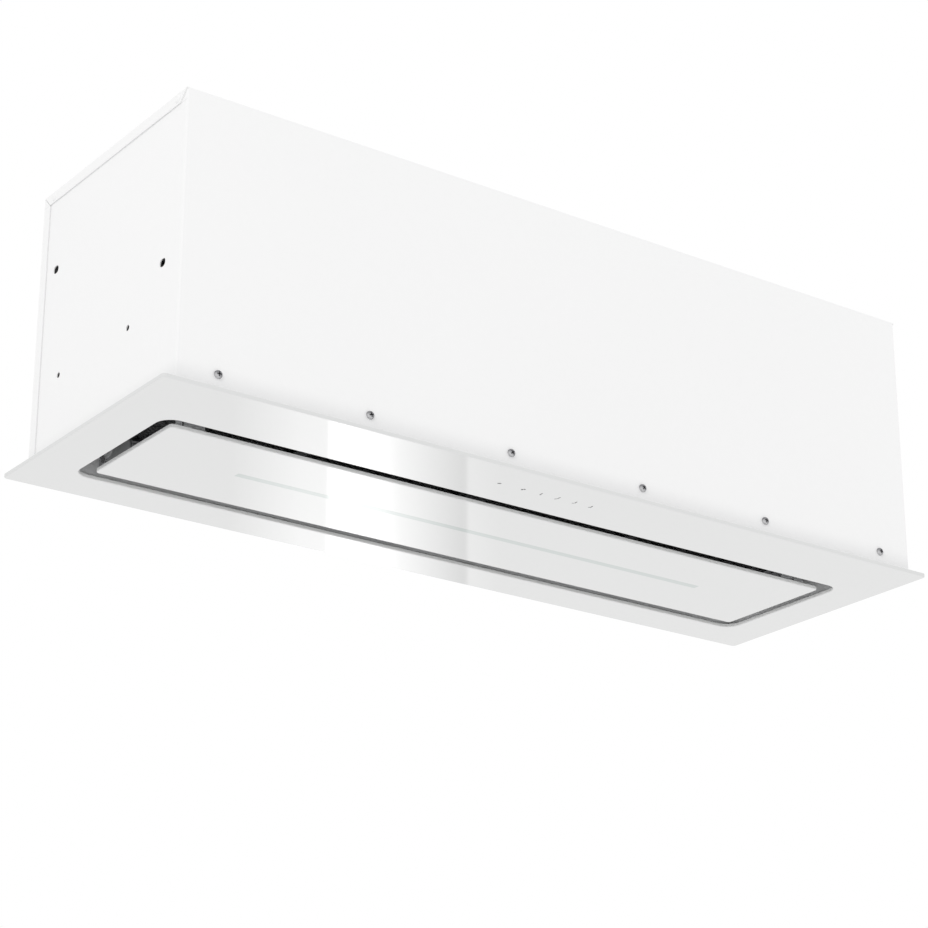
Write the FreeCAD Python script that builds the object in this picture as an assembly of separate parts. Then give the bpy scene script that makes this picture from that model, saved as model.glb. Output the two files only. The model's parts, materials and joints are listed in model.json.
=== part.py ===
import FreeCAD, Part
import math
import os

# Ceiling range hood with perimeter suction, built as separate pieces.
# Frame: millimetres, +Z up, +X along the hood to the right as seen from the front, -Y towards the front.
# Origin: centre of the four hanger holes, on the outer face of the casing's top.
# Heights inside are often counted from the underside of the glass: level(0) is that plane.

Vector = FreeCAD.Vector
X_AXIS = Vector(1, 0, 0)
Y_AXIS = Vector(0, 1, 0)
Z_AXIS = Vector(0, 0, 1)

# ---------------------------------------------------------------- driving dimensions

# casing
casing_length = 870.0
casing_depth = 271.0
casing_sheet = 1.0
fold_radius = 2.0
casing_foot_gap = 0.3          # the wrap's lower edge above the glass
lap_gap = 0.05                 # between two lapped sheets
cover_lap = 11.5               # how far the cover's flange comes down the side
back_lap = 12.0                # how far the back panel's flange comes round the side
mitre_gap = 0.5
hook_hole_depth = 9.5          # along the casing's depth
hook_hole_height = 7.9
hook_hole_corner = 3.7
rear_hook_inset = 31.3         # from the casing's back face to the hole's centre
rear_hook_level = 201.0
front_hook_inset = 31.9        # from the casing's front face
front_hook_level = 127.6
side_hole_radius = 2.8
side_hole_level = 86.3
front_side_hole_inset = 90.4
rear_side_hole_inset = 49.4
outer_fold_share = 0.8         # an outer fold's rounding as a share of its sheet
rivet_front_inset = 16.0       # from the casing's front face
rivet_rear_inset = 20.0        # from the casing's back face
rivet_head_radius = 4.0
rivet_head_height = 1.0
rivet_head_round = 0.7
rivet_tail_radius = 3.2
rivet_tail_height = 1.0

# glass frame and its opening
glass_overhang_ends = 15.0     # beyond the casing at each end, before the shift
glass_overhang_sides = 13.5    # beyond the casing's front and back
glass_thickness = 4.0
glass_corner = 4.0
glass_shift = -3.5             # the glass stands this much to the left of the casing's centre
glass_set_back = 1.2           # and this much behind it
end_rim = 47.5                 # from the glass's end to the opening
front_rim = 79.2
back_rim = 46.8
opening_corner = 16.0
glass_arris = 0.6

# suction pane and what it carries
end_gap = 14.85
side_gap = 16.2
pane_corner = 4.0
pane_sheet = 1.0
tray_end_inset = 45.0          # from the pane's end
tray_side_inset = 25.75        # from the pane's long side
tray_rim = 10.0
strip_end_inset = 108.3        # from the pane's end
strip_width = 8.0
strip_offset = -2.0            # the light strip's centre line from the pane's centre line
channel_height = 10.0
channel_wall = 1.2
diffuser_height = 2.5
light_board_thickness = 1.2
light_count = 24
light_size = 3.0

# pane hinge, stops and catches
hinge_inset = 10.2             # the hinge line from the pane's back edge
hinge_level = 12.0
hinge_pin_radius = 2.5
hinge_disc_radius = 25.0
hinge_boss_radius = 10.2
hinge_boss_height = 1.0
hinge_boss_offset = (-9.9, 6.4)      # the boss's centre from the hinge line, along Y and up
bracket_sheet = 2.0
bracket_inset = 2.0            # the bracket's outer face from the pane's end
bracket_foot = 20.0
bracket_foot_front = 24.0      # the foot's front edge from the hinge line
bracket_foot_back = 3.0        # the foot's back edge from the pane's back edge
bracket_reach = 51.0           # the bracket's front end from the hinge line
bracket_arm_height = 18.0      # above the glass
bracket_nose = 14.0            # rounding of its upper front corner
bracket_heel = 14.0            # the plate is cut away this far above the glass, behind its foot
bracket_rivet_radius = 2.5
bracket_rivet_height = 2.5
bracket_rivet_offset = 4.3     # in front of the hinge line, and as far below it
stop_radius = 20.0
stop_stud_radius = 2.0
stop_clearance = 0.3
stop_start_angle = 135.0
pin_head_step = 1.5            # how far a pin's head stands out round its shank
pin_head_thickness = 2.0
pin_shoulder_step = 1.2
pin_shoulder_length = 1.5
pin_overreach = 1.0            # past the bracket's inner face
pane_swing = 86.0
running_gap = 0.05
catch_inset = 23.65            # the catch's centre from the pane's end
catch_width = 16.0
catch_height = 11.5
catch_corner = 1.5
strike_length = 29.8
strike_offsets = (5.1, 2.9)    # the left and the right strike's centre from its catch's, along X
strike_level = 21.2
strike_depth = 12.0
strike_from_edge = 16.0
strike_slot = 2.0
strike_slot_offsets = (-2.5, 3.9)    # the slots' centres from the catches', along X
magnet_gap = 0.3

# carrier, tape and the screws through the casing
tape_thickness = 1.0
tape_width = 8.0
carrier_sheet = 1.2
carrier_flange = 26.0
carrier_fit = 0.3
rim_margin = 3.0               # the liner's walls stand this far outside the opening
screw_level = 20.4
screw_inset = 41.5             # the end screws from the casing's ends
screw_count = 6
screw_shank_radius = 1.95
screw_hole_radius = 2.2
thread_hole_radius = 2.0
screw_head_radius = 4.0
screw_head_height = 2.6
screw_shank_length = 8.0
nut_size = 8.0
nut_height = 3.0

# touch controls behind the front rim
touch_centre = -18.0           # along X
touch_from_front = 39.0        # from the front edge of the glass
touch_board_length = 156.0
touch_board_depth = 22.0
touch_board_thickness = 1.6
touch_cover_height = 8.0
touch_cover_wall = 1.5
touch_gap = 1.0

# filters, their frame and pull handles
liner_sheet = 1.0
ledge_level = 41.0             # the ledge's lower face
ledge_width = 10.0
liner_top = 60.0
liner_foot = 12.0
centre_bar = 24.0
filter_seat_gap = 0.2
filter_thickness = 9.0
filter_end_gap = 7.5           # from the liner's end wall
filter_side_gap = 5.25         # from the liner's long walls
filter_middle_gap = 12.0
filter_corner = 3.0
filter_bar = 10.0
pad_thickness = 2.0
pad_grip = 6.0
pad_gap = 0.1
handle_span = 50.0
handle_drop = 17.0
handle_wire = 1.5
handle_bend = 5.0
handle_ear_gap = 0.6
handle_ear = 2.0
handle_ear_width = 8.0
handle_pin_end = 1.5           # how far the end pins stand out of the ears
handle_pin_drop = 3.7          # the handle's hinge line below the filter's lower face
handle_plate_length = 70.0
handle_plate_depth = 14.0
handle_plate_thickness = 1.6
handle_from_front = 38.0       # from the filter's front edge

# blower
blower_clearance = 24.05       # from the filters' top to the blower
adapter_height = 32.0          # from the casing's top down to the scroll's outlet
impeller_radius = 70.0
blade_depth = 12.0             # from the impeller's rim to its blades' roots
blade_overlap = 0.5            # the blade's tip lies this much inside the impeller's rim
impeller_half_width = 54.0
impeller_disc = 2.0
impeller_disc_step = 6.0       # the middle disc is this much smaller than the impeller
impeller_ring = 2.0
impeller_ring_width = 5.0
blade_count = 36
blade_thickness = 1.2
blade_bow = 3.2                # how far a blade's middle bows from its chord
blade_lean = 8.0               # degrees by which the blade's tip leads its root
hub_radius = 10.0
hub_length = 13.0
scroll_step = 9.5              # side of the square that the scroll's arc centres stand on
scroll_clearance = 12.0        # from the impeller's rim to the scroll's second arc
scroll_wall = 2.5
scroll_half_width = 62.0
tongue_angle = 68.0
outlet_rise = 1.25
inlet_inset = 2.0              # the inlet's radius is this much under the blades' roots
inlet_lip = 6.0
inlet_lip_gap = 0.5
outlet_flange = 8.0
outlet_flange_thickness = 2.0

# motor
shaft_radius = 4.0
shaft_reach = 14.0
shaft_hole_gap = 1.0
motor_radius = 38.0
motor_wall = 2.0
motor_start = 8.0
motor_cap_thickness = 6.5
boss_radius = 13.5
boss_reach = 4.0
bearing_radius = 11.0
bearing_width = 7.0
stator_inner_radius = 22.5
air_gap = 0.5
stator_length = 26.0
winding_length = 6.0
winding_inset = 3.0
bracket_plate = 2.5
bracket_ring_width = 12.0
bracket_arm = 12.0
bracket_arms = 3
bracket_centre_inset = 8.0     # the bracket's middle plate is this much smaller than the motor

# outlet
collar_back_gap = 4.5          # from the collar's flange to the back panel
collar_behind_fan = 64.0       # the collar's centre behind the fan's axis
collar_radius = 74.5
collar_wall = 2.2
collar_height = 40.0
collar_flange_width = 13.5
collar_flange_thickness = 2.5
collar_bolt_step = 6.5         # from the collar's outside to the bolt circle
collar_screws = 4
adapter_wall = 2.5
flap_ledge_level = 9.0
flap_ledge_height = 2.5
flap_ledge_width = 3.3
flap_seat_gap = 0.3
flap_thickness = 1.4
flap_rim_gap = 1.0
flap_middle_gap = 3.4
axle_radius = 1.5
axle_level = 12.2
knuckle_radius = 2.8
knuckle_length = 20.0
knuckle_gap = 0.4
knuckle_count = 6

# electrical pieces and hangers
control_inset = 110.0          # the control box's centre from the casing's right end
control_size = (150.0, 120.0, 42.0)
control_corner = 4.0
control_wall = 2.5
control_lid = 2.5
control_board_margin = 6.0
board_thickness = 1.6
standoff_height = 6.0
standoff_radius = 3.0
standoff_inset = 6.0
board_blocks = (               # (x, y) from the board's centre, then length, depth and height
    (-42.0, -22.0, 34.0, 40.0, 26.0),
    (2.0, -30.0, 20.0, 16.0, 16.0),
    (2.0, -6.0, 20.0, 16.0, 16.0),
    (50.0, 0.0, 12.0, 70.0, 14.0),
)
board_can = (-30.0, 30.0, 9.0, 22.0)     # (x, y), radius and height
driver_inset = 165.0           # the driver's centre from the casing's left end
driver_corner = 3.0
driver_size = (120.0, 50.0, 28.0)
driver_ear = 14.0
driver_ear_thickness = 3.0
capacitor_x = 181.0
capacitor_y = -80.0
capacitor_radius = 17.0
capacitor_length = 62.0
capacitor_round = 2.0
strap_width = 14.0
strap_thickness = 1.2
strap_foot = 12.0
gland_inset = 35.5             # from the casing's back face
gland_bore = 4.2
gland_shoulder = 1.0
gland_top_wall = 2.0
gland_thread_radius = 8.0
gland_collar_radius = 12.0
gland_above = 17.0
gland_below = 11.0
gland_collar_height = 6.0
gland_nut_height = 5.0
hanger_end_inset = 55.0
hanger_side_inset = 30.5
hanger_hole_radius = 4.5
hanger_plate_size = (60.0, 40.0, 3.0)
hanger_plate_corner = 4.0

# ---------------------------------------------------------------- sizes worked out from them

half_length = casing_length / 2
half_depth = casing_depth / 2
lap_face = half_length + lap_gap + casing_sheet
screw_pitch = (casing_length - 2 * screw_inset) / (screw_count - 1)

glass_half_length = half_length + glass_overhang_ends
glass_x = (glass_shift - glass_half_length, glass_shift + glass_half_length)
glass_half_depth = half_depth + glass_overhang_sides
glass_y = (glass_set_back - glass_half_depth, glass_set_back + glass_half_depth)
opening_x = (glass_x[0] + end_rim, glass_x[1] - end_rim)
opening_y = (glass_y[0] + front_rim, glass_y[1] - back_rim)
opening_set_back = (opening_y[0] + opening_y[1]) / 2
pane_x = (opening_x[0] + end_gap, opening_x[1] - end_gap)
pane_y = (opening_y[0] + side_gap, opening_y[1] - side_gap)
liner_x = (opening_x[0] - rim_margin, opening_x[1] + rim_margin)
liner_y = (opening_y[0] - rim_margin, opening_y[1] + rim_margin)

hinge_y = pane_y[1] - hinge_inset
strip_y = opening_set_back + strip_offset
strip_x = (pane_x[0] + strip_end_inset, pane_x[1] - strip_end_inset)
strip_length = strip_x[1] - strip_x[0]
filter_length = (liner_x[1] - liner_x[0] - 2 * filter_end_gap - filter_middle_gap) / 2
filter_depth = liner_y[1] - liner_y[0] - 2 * filter_side_gap
carrier_level = glass_thickness + tape_thickness
liner_level = carrier_level + carrier_sheet
filter_level = ledge_level + liner_sheet + filter_seat_gap
filter_top = filter_level + filter_thickness

scroll_radius = impeller_radius + scroll_clearance
impeller_inner_radius = impeller_radius - blade_depth
inlet_radius = impeller_inner_radius - inlet_inset
scroll_above_axis = scroll_radius - scroll_step / 2 + scroll_wall + outlet_rise
scroll_below_axis = scroll_radius + scroll_step * 1.5 + scroll_wall
outlet_plane = -casing_sheet - adapter_height
fan_z = outlet_plane - scroll_above_axis
glass_under = fan_z - scroll_below_axis - blower_clearance - filter_top
cap_face = scroll_half_width + scroll_wall
collar_inner_radius = collar_radius - collar_wall
collar_flange_radius = collar_radius + collar_flange_width
collar_bolt_circle = collar_radius + collar_bolt_step
collar_y = half_depth - casing_sheet - collar_back_gap - collar_flange_radius
fan_y = collar_y - collar_behind_fan

control_x = half_length - control_inset
driver_x = -half_length + driver_inset
gland_x = control_x
gland_y = half_depth - gland_inset


def level(height):
    """The Z of a height above the underside of the glass."""
    return glass_under + height


# ---------------------------------------------------------------- building blocks


def block(x_range, y_range, z_range):
    size = [pair[1] - pair[0] for pair in (x_range, y_range, z_range)]
    return Part.makeBox(size[0], size[1], size[2], Vector(x_range[0], y_range[0], z_range[0]))


def around(centre, size):
    return (centre - size / 2, centre + size / 2)


def grown(pair, margin):
    return (pair[0] - margin, pair[1] + margin)


def rod(start, direction, radius, length):
    return Part.makeCylinder(radius, length, Vector(*start), direction)


def tube(start, direction, outer_radius, inner_radius, length):
    outer = rod(start, direction, outer_radius, length)
    return outer.cut(rod(start, direction, inner_radius, length))


def edges_along(shape, axis, test=lambda point: True):
    """Straight edges of a shape that run along an axis and whose middle passes a test."""
    found = []
    for edge in shape.Edges:
        if isinstance(edge.Curve, (Part.Line, Part.LineSegment)):
            run = edge.Vertexes[1].Point - edge.Vertexes[0].Point
            middle = (edge.Vertexes[0].Point + edge.Vertexes[1].Point) * 0.5
            if run.cross(axis).Length < 1e-6 and test(middle):
                found.append(edge)
    return found


def strips_round(outer_x, outer_y, inner_x, inner_y, heights):
    """Four strips round a rectangular space: the front and back ones full length, the end ones between."""
    return [
        block(outer_x, (outer_y[0], inner_y[0]), heights),
        block(outer_x, (inner_y[1], outer_y[1]), heights),
        block((outer_x[0], inner_x[0]), inner_y, heights),
        block((inner_x[1], outer_x[1]), inner_y, heights),
    ]


def rounded_block(x_range, y_range, z_range, corner, axis=Z_AXIS):
    shape = block(x_range, y_range, z_range)
    return shape.makeFillet(corner, edges_along(shape, axis))


def prism(points, direction):
    """A polygon of 3-D points, pushed along a direction."""
    corners = [Vector(*point) for point in points]
    return Part.Face(Part.makePolygon(corners + corners[:1])).extrude(direction)


def placed(shape, point, direction):
    """A shape drawn along +Z from the origin, turned to a direction and moved to a point."""
    copy = shape.copy()
    copy.Placement = FreeCAD.Placement(Vector(*point), FreeCAD.Rotation(Z_AXIS, direction))
    return copy


def mirrored_x(shape, centre=0.0):
    return shape.mirror(Vector(centre, 0, 0), X_AXIS)


def drilled(shape, holes):
    return shape.cut(holes)


def fused(pieces):
    return pieces[0].multiFuse(pieces[1:]).removeSplitter()


def save(node, *shapes):
    solids = [solid for shape in shapes for solid in shape.Solids]
    whole = solids[0] if len(solids) == 1 else Part.makeCompound(solids)
    whole.exportStep("parts/" + node + ".step")
    print(node, len(solids), "solids", round(whole.Volume / 1000, 1), "cm3", whole.isValid())


def pan_screw(shank_radius, shank_length, head_radius, head_height):
    """A pan-head screw with a cross recess. The head's seat is at the origin and the head points to +Z."""
    recess_width = head_radius * 0.24
    recess_length = head_radius * 1.15
    recess_depth = head_height * 0.55
    head = Part.makeCylinder(head_radius, head_height)
    top_edge = [edge for edge in head.Edges if abs(edge.CenterOfMass.z - head_height) < 1e-6]
    head = head.makeFillet(head_height * 0.6, top_edge)
    top = (head_height - recess_depth, head_height)
    slots = [
        block(around(0, recess_length), around(0, recess_width), top),
        block(around(0, recess_width), around(0, recess_length), top),
    ]
    shank = rod((0, 0, -shank_length), Z_AXIS, shank_radius, shank_length)
    return fused([head.cut(slots), shank])


# ---------------------------------------------------------------- casing


def screw_xs():
    first = -(screw_count - 1) / 2 * screw_pitch
    return [first + i * screw_pitch for i in range(screw_count)]


def screw_holes(y, reach, radius):
    """Holes along Y, centred on y, at the row of screws."""
    return [rod((x, y - reach, level(screw_level)), Y_AXIS, radius, 2 * reach) for x in screw_xs()]


def wall_ys():
    """The outer faces of the front and of the back wall, with the side that each faces."""
    return ((-half_depth, -1), (half_depth, 1))


def rivet_places():
    """Rivets of the cover's side flanges: (y, z)."""
    front = rivet_front_inset - half_depth
    rear = half_depth - rivet_rear_inset
    return [(front, -cover_lap / 2), (rear, -cover_lap / 2)]


def rivet_holes():
    reach = lap_face + casing_sheet
    return [rod((-reach, y, z), X_AXIS, thread_hole_radius, 2 * reach) for y, z in rivet_places()]


def hook_places():
    """Hook holes of the casing's sides: (y, height above the underside of the glass)."""
    rear = (half_depth - rear_hook_inset, rear_hook_level)
    front = (-half_depth + front_hook_inset, front_hook_level)
    return (rear, front)


def casing_wrap():
    bottom = level(glass_thickness + casing_foot_gap)
    heights = (bottom, -casing_sheet)
    back = half_depth - casing_sheet - lap_gap
    outer = block((-half_length, half_length), (-half_depth, back), heights)
    inner_x = half_length - casing_sheet
    front = -half_depth + casing_sheet
    inner = block((-inner_x, inner_x), (front, back + casing_sheet), grown(heights, casing_sheet))
    outer = outer.makeFillet(fold_radius, edges_along(outer, Z_AXIS, lambda p: p.y < 0))
    inner = inner.makeFillet(fold_radius - casing_sheet, edges_along(inner, Z_AXIS, lambda p: p.y < 0))
    holes = screw_holes(-half_depth, 2 * casing_sheet, screw_hole_radius) + rivet_holes()
    through = (-half_length - casing_sheet, half_length + casing_sheet)
    for y, height in hook_places():
        spans = (around(y, hook_hole_depth), around(level(height), hook_hole_height))
        holes.append(rounded_block(through, spans[0], spans[1], hook_hole_corner, X_AXIS))
    for y in (-half_depth + front_side_hole_inset, half_depth - rear_side_hole_inset):
        start = (through[0], y, level(side_hole_level))
        holes.append(rod(start, X_AXIS, side_hole_radius, through[1] - through[0]))
    save("casing_wrap", drilled(outer.cut(inner), holes))


def hanger_points():
    x = half_length - hanger_end_inset
    y = half_depth - hanger_side_inset
    return [(side * x, end * y) for side in (-1, 1) for end in (-1, 1)]


def collar_bolt_points():
    points = []
    for i in range(collar_screws):
        angle = math.radians(45 + i * 360 / collar_screws)
        x = collar_bolt_circle * math.cos(angle)
        points.append((x, collar_y + collar_bolt_circle * math.sin(angle)))
    return points


def top_cover():
    seat = half_length + lap_gap
    plate = block((-seat, seat), (-half_depth, half_depth), (-casing_sheet, 0))
    back_edge = half_depth - back_lap
    side = [
        (seat, -half_depth, 0),
        (seat, -half_depth + cover_lap, -cover_lap),
        (seat, back_edge, -cover_lap),
        (seat, back_edge + cover_lap, 0),
    ]
    flange = prism(side, Vector(casing_sheet, 0, 0))
    cover = fused([plate, flange, mirrored_x(flange)])
    folds = edges_along(cover, Y_AXIS, lambda p: abs(p.x) > seat + casing_sheet / 2 and p.z > -lap_gap)
    cover = cover.makeFillet(casing_sheet * outer_fold_share, folds)
    deep = 3 * casing_sheet
    holes = [rod((x, y, -deep), Z_AXIS, hanger_hole_radius, 2 * deep) for x, y in hanger_points()]
    holes += [rod((x, y, -deep), Z_AXIS, thread_hole_radius, 2 * deep) for x, y in collar_bolt_points()]
    holes.append(rod((0, collar_y, -deep), Z_AXIS, collar_inner_radius - flap_ledge_width, 2 * deep))
    holes.append(rod((gland_x, gland_y, -deep), Z_AXIS, gland_thread_radius, 2 * deep))
    save("top_cover", drilled(cover, holes + rivet_holes()))


def back_panel():
    bottom = level(glass_thickness + casing_foot_gap)
    top = -casing_sheet - lap_gap
    inner_y = half_depth - casing_sheet
    plate = block((-lap_face, lap_face), (inner_y, half_depth), (bottom, top))
    lap_edge = half_depth - back_lap
    mitre_drop = cover_lap + mitre_gap * math.sqrt(2)
    x = half_length + lap_gap
    side = [
        (x, lap_edge, bottom),
        (x, half_depth, bottom),
        (x, half_depth, top),
        (x, lap_edge + mitre_drop + top, top),
        (x, lap_edge, -mitre_drop),
    ]
    flange = prism(side, Vector(casing_sheet, 0, 0))
    panel = fused([plate, flange, mirrored_x(flange)])
    folds = edges_along(panel, Z_AXIS, lambda p: abs(p.x) > x + casing_sheet / 2 and p.y > inner_y)
    panel = panel.makeFillet(casing_sheet * outer_fold_share, folds)
    save("back_panel", drilled(panel, screw_holes(half_depth, 2 * casing_sheet, screw_hole_radius)))


def flange_rivets():
    grip = 2 * casing_sheet + lap_gap
    head = Part.makeCylinder(rivet_head_radius, rivet_head_height)
    rim = [edge for edge in head.Edges if abs(edge.CenterOfMass.z - rivet_head_height) < 1e-6]
    head = head.makeFillet(rivet_head_round, rim)
    shank = rod((0, 0, -grip), Z_AXIS, thread_hole_radius, grip)
    tail = rod((0, 0, -grip - rivet_tail_height), Z_AXIS, rivet_tail_radius, rivet_tail_height)
    rivet = fused([head, shank, tail])
    rivets = []
    for side in (-1, 1):
        for y, z in rivet_places():
            rivets.append(placed(rivet, (side * lap_face, y, z), Vector(side, 0, 0)))
    save("flange_rivets", *rivets)


def casing_screws():
    screw = pan_screw(screw_shank_radius, screw_shank_length, screw_head_radius, screw_head_height)
    for node, (y, side) in zip(("front_screws", "rear_screws"), wall_ys()):
        rows = [placed(screw, (x, y, level(screw_level)), Vector(0, side, 0)) for x in screw_xs()]
        save(node, *rows)


def weld_nuts():
    seat = half_depth - casing_sheet - carrier_fit - carrier_sheet
    nuts = []
    for _, side in wall_ys():
        face = side * seat
        span = tuple(sorted((face, face - side * nut_height)))
        for x, hole in zip(screw_xs(), screw_holes(face, 2 * nut_height, thread_hole_radius)):
            height = around(level(screw_level), nut_size)
            nuts.append(block(around(x, nut_size), span, height).cut(hole))
    save("weld_nuts", *nuts)


# ---------------------------------------------------------------- glass frame and its carrier


def glass_frame():
    heights = (level(0), level(glass_thickness))
    plate = rounded_block(glass_x, glass_y, heights, glass_corner)
    opening = rounded_block(opening_x, opening_y, grown(heights, glass_thickness), opening_corner)
    frame = plate.cut(opening)
    rims = [edge for edge in frame.Edges if abs(edge.BoundBox.ZLength) < 1e-6]
    save("glass_frame", frame.makeChamfer(glass_arris, rims))


def touch_window():
    """The touch board's place: its span along X and its span along Y."""
    centre_y = glass_y[0] + touch_from_front
    return around(touch_centre, touch_board_length), around(centre_y, touch_board_depth)


def bond_tape():
    heights = (level(glass_thickness), level(carrier_level))
    near = grown(liner_y, rim_margin)
    ends = grown(liner_x, rim_margin)
    strips = []
    for y in (near[0] - tape_width, near[1]):
        strips.append(block(ends, (y, y + tape_width), heights))
    for x in (ends[0] - tape_width, ends[1]):
        strips.append(block((x, x + tape_width), near, heights))
    save("bond_tape", *strips)


def glass_carrier():
    outer_x = grown((-half_length, half_length), -casing_sheet - carrier_fit)
    outer_y = grown((-half_depth, half_depth), -casing_sheet - carrier_fit)
    inner_x = grown(outer_x, -carrier_sheet)
    inner_y = grown(outer_y, -carrier_sheet)
    floor = (level(carrier_level), level(liner_level))
    front, back, left, right = strips_round(outer_x, outer_y, liner_x, liner_y, floor)
    span_x, span_y = touch_window()
    cover_room = touch_cover_wall + 2 * touch_gap
    front_y = (outer_y[0], liner_y[0])
    front = strips_round(outer_x, front_y, grown(span_x, cover_room), grown(span_y, cover_room), floor)
    flange = (level(liner_level), level(carrier_level + carrier_flange))
    flanges = strips_round(outer_x, outer_y, inner_x, inner_y, flange)
    for i, (y, _) in enumerate(wall_ys()):
        flanges[i] = drilled(flanges[i], screw_holes(y, 4 * casing_sheet, thread_hole_radius))
    save("glass_carrier", *front, back, left, right, *flanges)


def touch_controls():
    span_x, span_y = touch_window()
    board_top = level(glass_thickness + touch_board_thickness)
    board = block(span_x, span_y, (level(glass_thickness), board_top))
    save("touch_board", board)
    outer_margin = touch_gap + touch_cover_wall
    top = level(glass_thickness + touch_cover_height)
    shell = block(grown(span_x, outer_margin), grown(span_y, outer_margin), (level(glass_thickness), top))
    room = block(grown(span_x, touch_gap), grown(span_y, touch_gap), (level(0), top - touch_cover_wall))
    save("touch_board_cover", shell.cut(room))


# ---------------------------------------------------------------- filter frame and filters


def filter_xs():
    half = (filter_middle_gap + filter_length) / 2
    return (glass_shift - half, glass_shift + half)


def filter_frame():
    wall_x = grown(liner_x, liner_sheet)
    wall_y = grown(liner_y, liner_sheet)
    heights = (level(liner_level), level(liner_top))
    front, back, left, right = strips_round(wall_x, wall_y, liner_x, liner_y, heights)
    stop_y, stop_z = stop_point()
    start_x = liner_x[0] - liner_foot
    reach = liner_x[1] + liner_foot - start_x
    bores = [
        rod((start_x, hinge_y, level(hinge_level)), X_AXIS, hinge_pin_radius, reach),
        rod((start_x, stop_y, stop_z), X_AXIS, stop_stud_radius, reach),
    ]
    foot_x = grown(liner_x, liner_foot)
    foot_y = grown(liner_y, liner_foot)
    foot_heights = (level(liner_level), level(liner_level + liner_sheet))
    feet = strips_round(foot_x, foot_y, wall_x, wall_y, foot_heights)
    ledge_heights = (level(ledge_level), level(ledge_level + liner_sheet))
    ledge_x = grown(liner_x, -ledge_width)
    ledge_y = grown(liner_y, -ledge_width)
    ledges = strips_round(liner_x, liner_y, ledge_x, ledge_y, ledge_heights)
    ledges.append(block(around(glass_shift, centre_bar), ledge_y, ledge_heights))
    save("filter_frame", front, back, drilled(left, bores), drilled(right, bores), *feet, *ledges)


def filter_handle_y():
    return opening_set_back - filter_depth / 2 + handle_from_front


def filter_set(name, centre_x):
    bottom = level(filter_level)
    top = bottom + filter_thickness
    span_x = around(centre_x, filter_length)
    span_y = around(opening_set_back, filter_depth)
    outer = rounded_block(span_x, span_y, (bottom, top), filter_corner)
    window = block(grown(span_x, -filter_bar), grown(span_y, -filter_bar), (bottom - 1, top + 1))
    middle = (bottom + top) / 2
    slot_margin = pad_grip - filter_bar
    slot = block(
        grown(span_x, slot_margin + pad_gap),
        grown(span_y, slot_margin + pad_gap),
        around(middle, pad_thickness + 2 * pad_gap),
    )
    pad = block(
        grown(span_x, slot_margin), grown(span_y, slot_margin), around(middle, pad_thickness)
    )
    handle_y = filter_handle_y()
    plate = block(
        around(centre_x, handle_plate_length),
        around(handle_y, handle_plate_depth),
        (bottom, bottom + handle_plate_thickness),
    )
    strap = block(around(centre_x, handle_plate_depth), span_y, (bottom, bottom + handle_plate_thickness))
    strap = strap.common(outer)
    pin_z = bottom - handle_pin_drop
    ears = []
    for side in (-1, 1):
        ear_x = centre_x + side * (handle_span / 2 + handle_wire + handle_ear_gap + handle_ear / 2)
        ear = block(
            around(ear_x, handle_ear),
            around(handle_y, handle_ear_width),
            (pin_z - handle_ear_width / 2, bottom + handle_plate_thickness),
        )
        ears.append(ear)
    bore_length = handle_plate_length
    bore_start = (centre_x - bore_length / 2, handle_y, pin_z)
    bore = rod(bore_start, X_AXIS, handle_wire + running_gap, bore_length)
    frame = fused([outer.cut([window, slot]), plate, strap] + ears)
    save(name + "_frame", drilled(frame, [bore]))
    save(name + "_pad", pad)
    save(name + "_handle", pull_handle(centre_x, handle_y, pin_z))


def pull_handle(x, y, z):
    """A wire bail that hangs from two ears: two end pins, two legs and a grip, with round bends."""
    half = handle_span / 2
    pin_reach = handle_wire + handle_ear_gap + handle_ear + handle_pin_end
    bend = handle_bend
    diagonal = bend * (1 - math.sqrt(0.5))
    bottom = z - handle_drop
    left_leg = Part.LineSegment(Vector(x - half, y, z), Vector(x - half, y, bottom + bend))
    grip = Part.LineSegment(Vector(x - half + bend, y, bottom), Vector(x + half - bend, y, bottom))
    right_leg = Part.LineSegment(Vector(x + half, y, bottom + bend), Vector(x + half, y, z))
    left_bend = Part.Arc(
        Vector(x - half, y, bottom + bend),
        Vector(x - half + diagonal, y, bottom + diagonal),
        Vector(x - half + bend, y, bottom),
    )
    right_bend = Part.Arc(
        Vector(x + half - bend, y, bottom),
        Vector(x + half - diagonal, y, bottom + diagonal),
        Vector(x + half, y, bottom + bend),
    )
    path = Part.Wire([piece.toShape() for piece in (left_leg, left_bend, grip, right_bend, right_leg)])
    section = Part.Wire(Part.makeCircle(handle_wire, Vector(x - half, y, z), Z_AXIS))
    bail = path.makePipeShell([section], True, False)
    pins = [
        rod((x - half - pin_reach, y, z), X_AXIS, handle_wire, pin_reach),
        rod((x + half, y, z), X_AXIS, handle_wire, pin_reach),
        Part.makeSphere(handle_wire, Vector(x - half, y, z)),
        Part.makeSphere(handle_wire, Vector(x + half, y, z)),
    ]
    return fused([bail] + pins)


# ---------------------------------------------------------------- suction pane


def stop_point():
    """Where the stop studs stand: (y, z)."""
    angle = math.radians(stop_start_angle)
    return hinge_y + stop_radius * math.cos(angle), level(hinge_level) + stop_radius * math.sin(angle)


def suction_pane():
    pane = rounded_block(pane_x, pane_y, (level(0), level(glass_thickness)), pane_corner)
    rims = [edge for edge in pane.Edges if abs(edge.BoundBox.ZLength) < 1e-6]
    save("pane_glass", pane.makeChamfer(glass_arris, rims))


def channel_span():
    width = strip_width + 2 * running_gap + 2 * channel_wall
    return grown(strip_x, channel_wall), around(strip_y, width)


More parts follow.
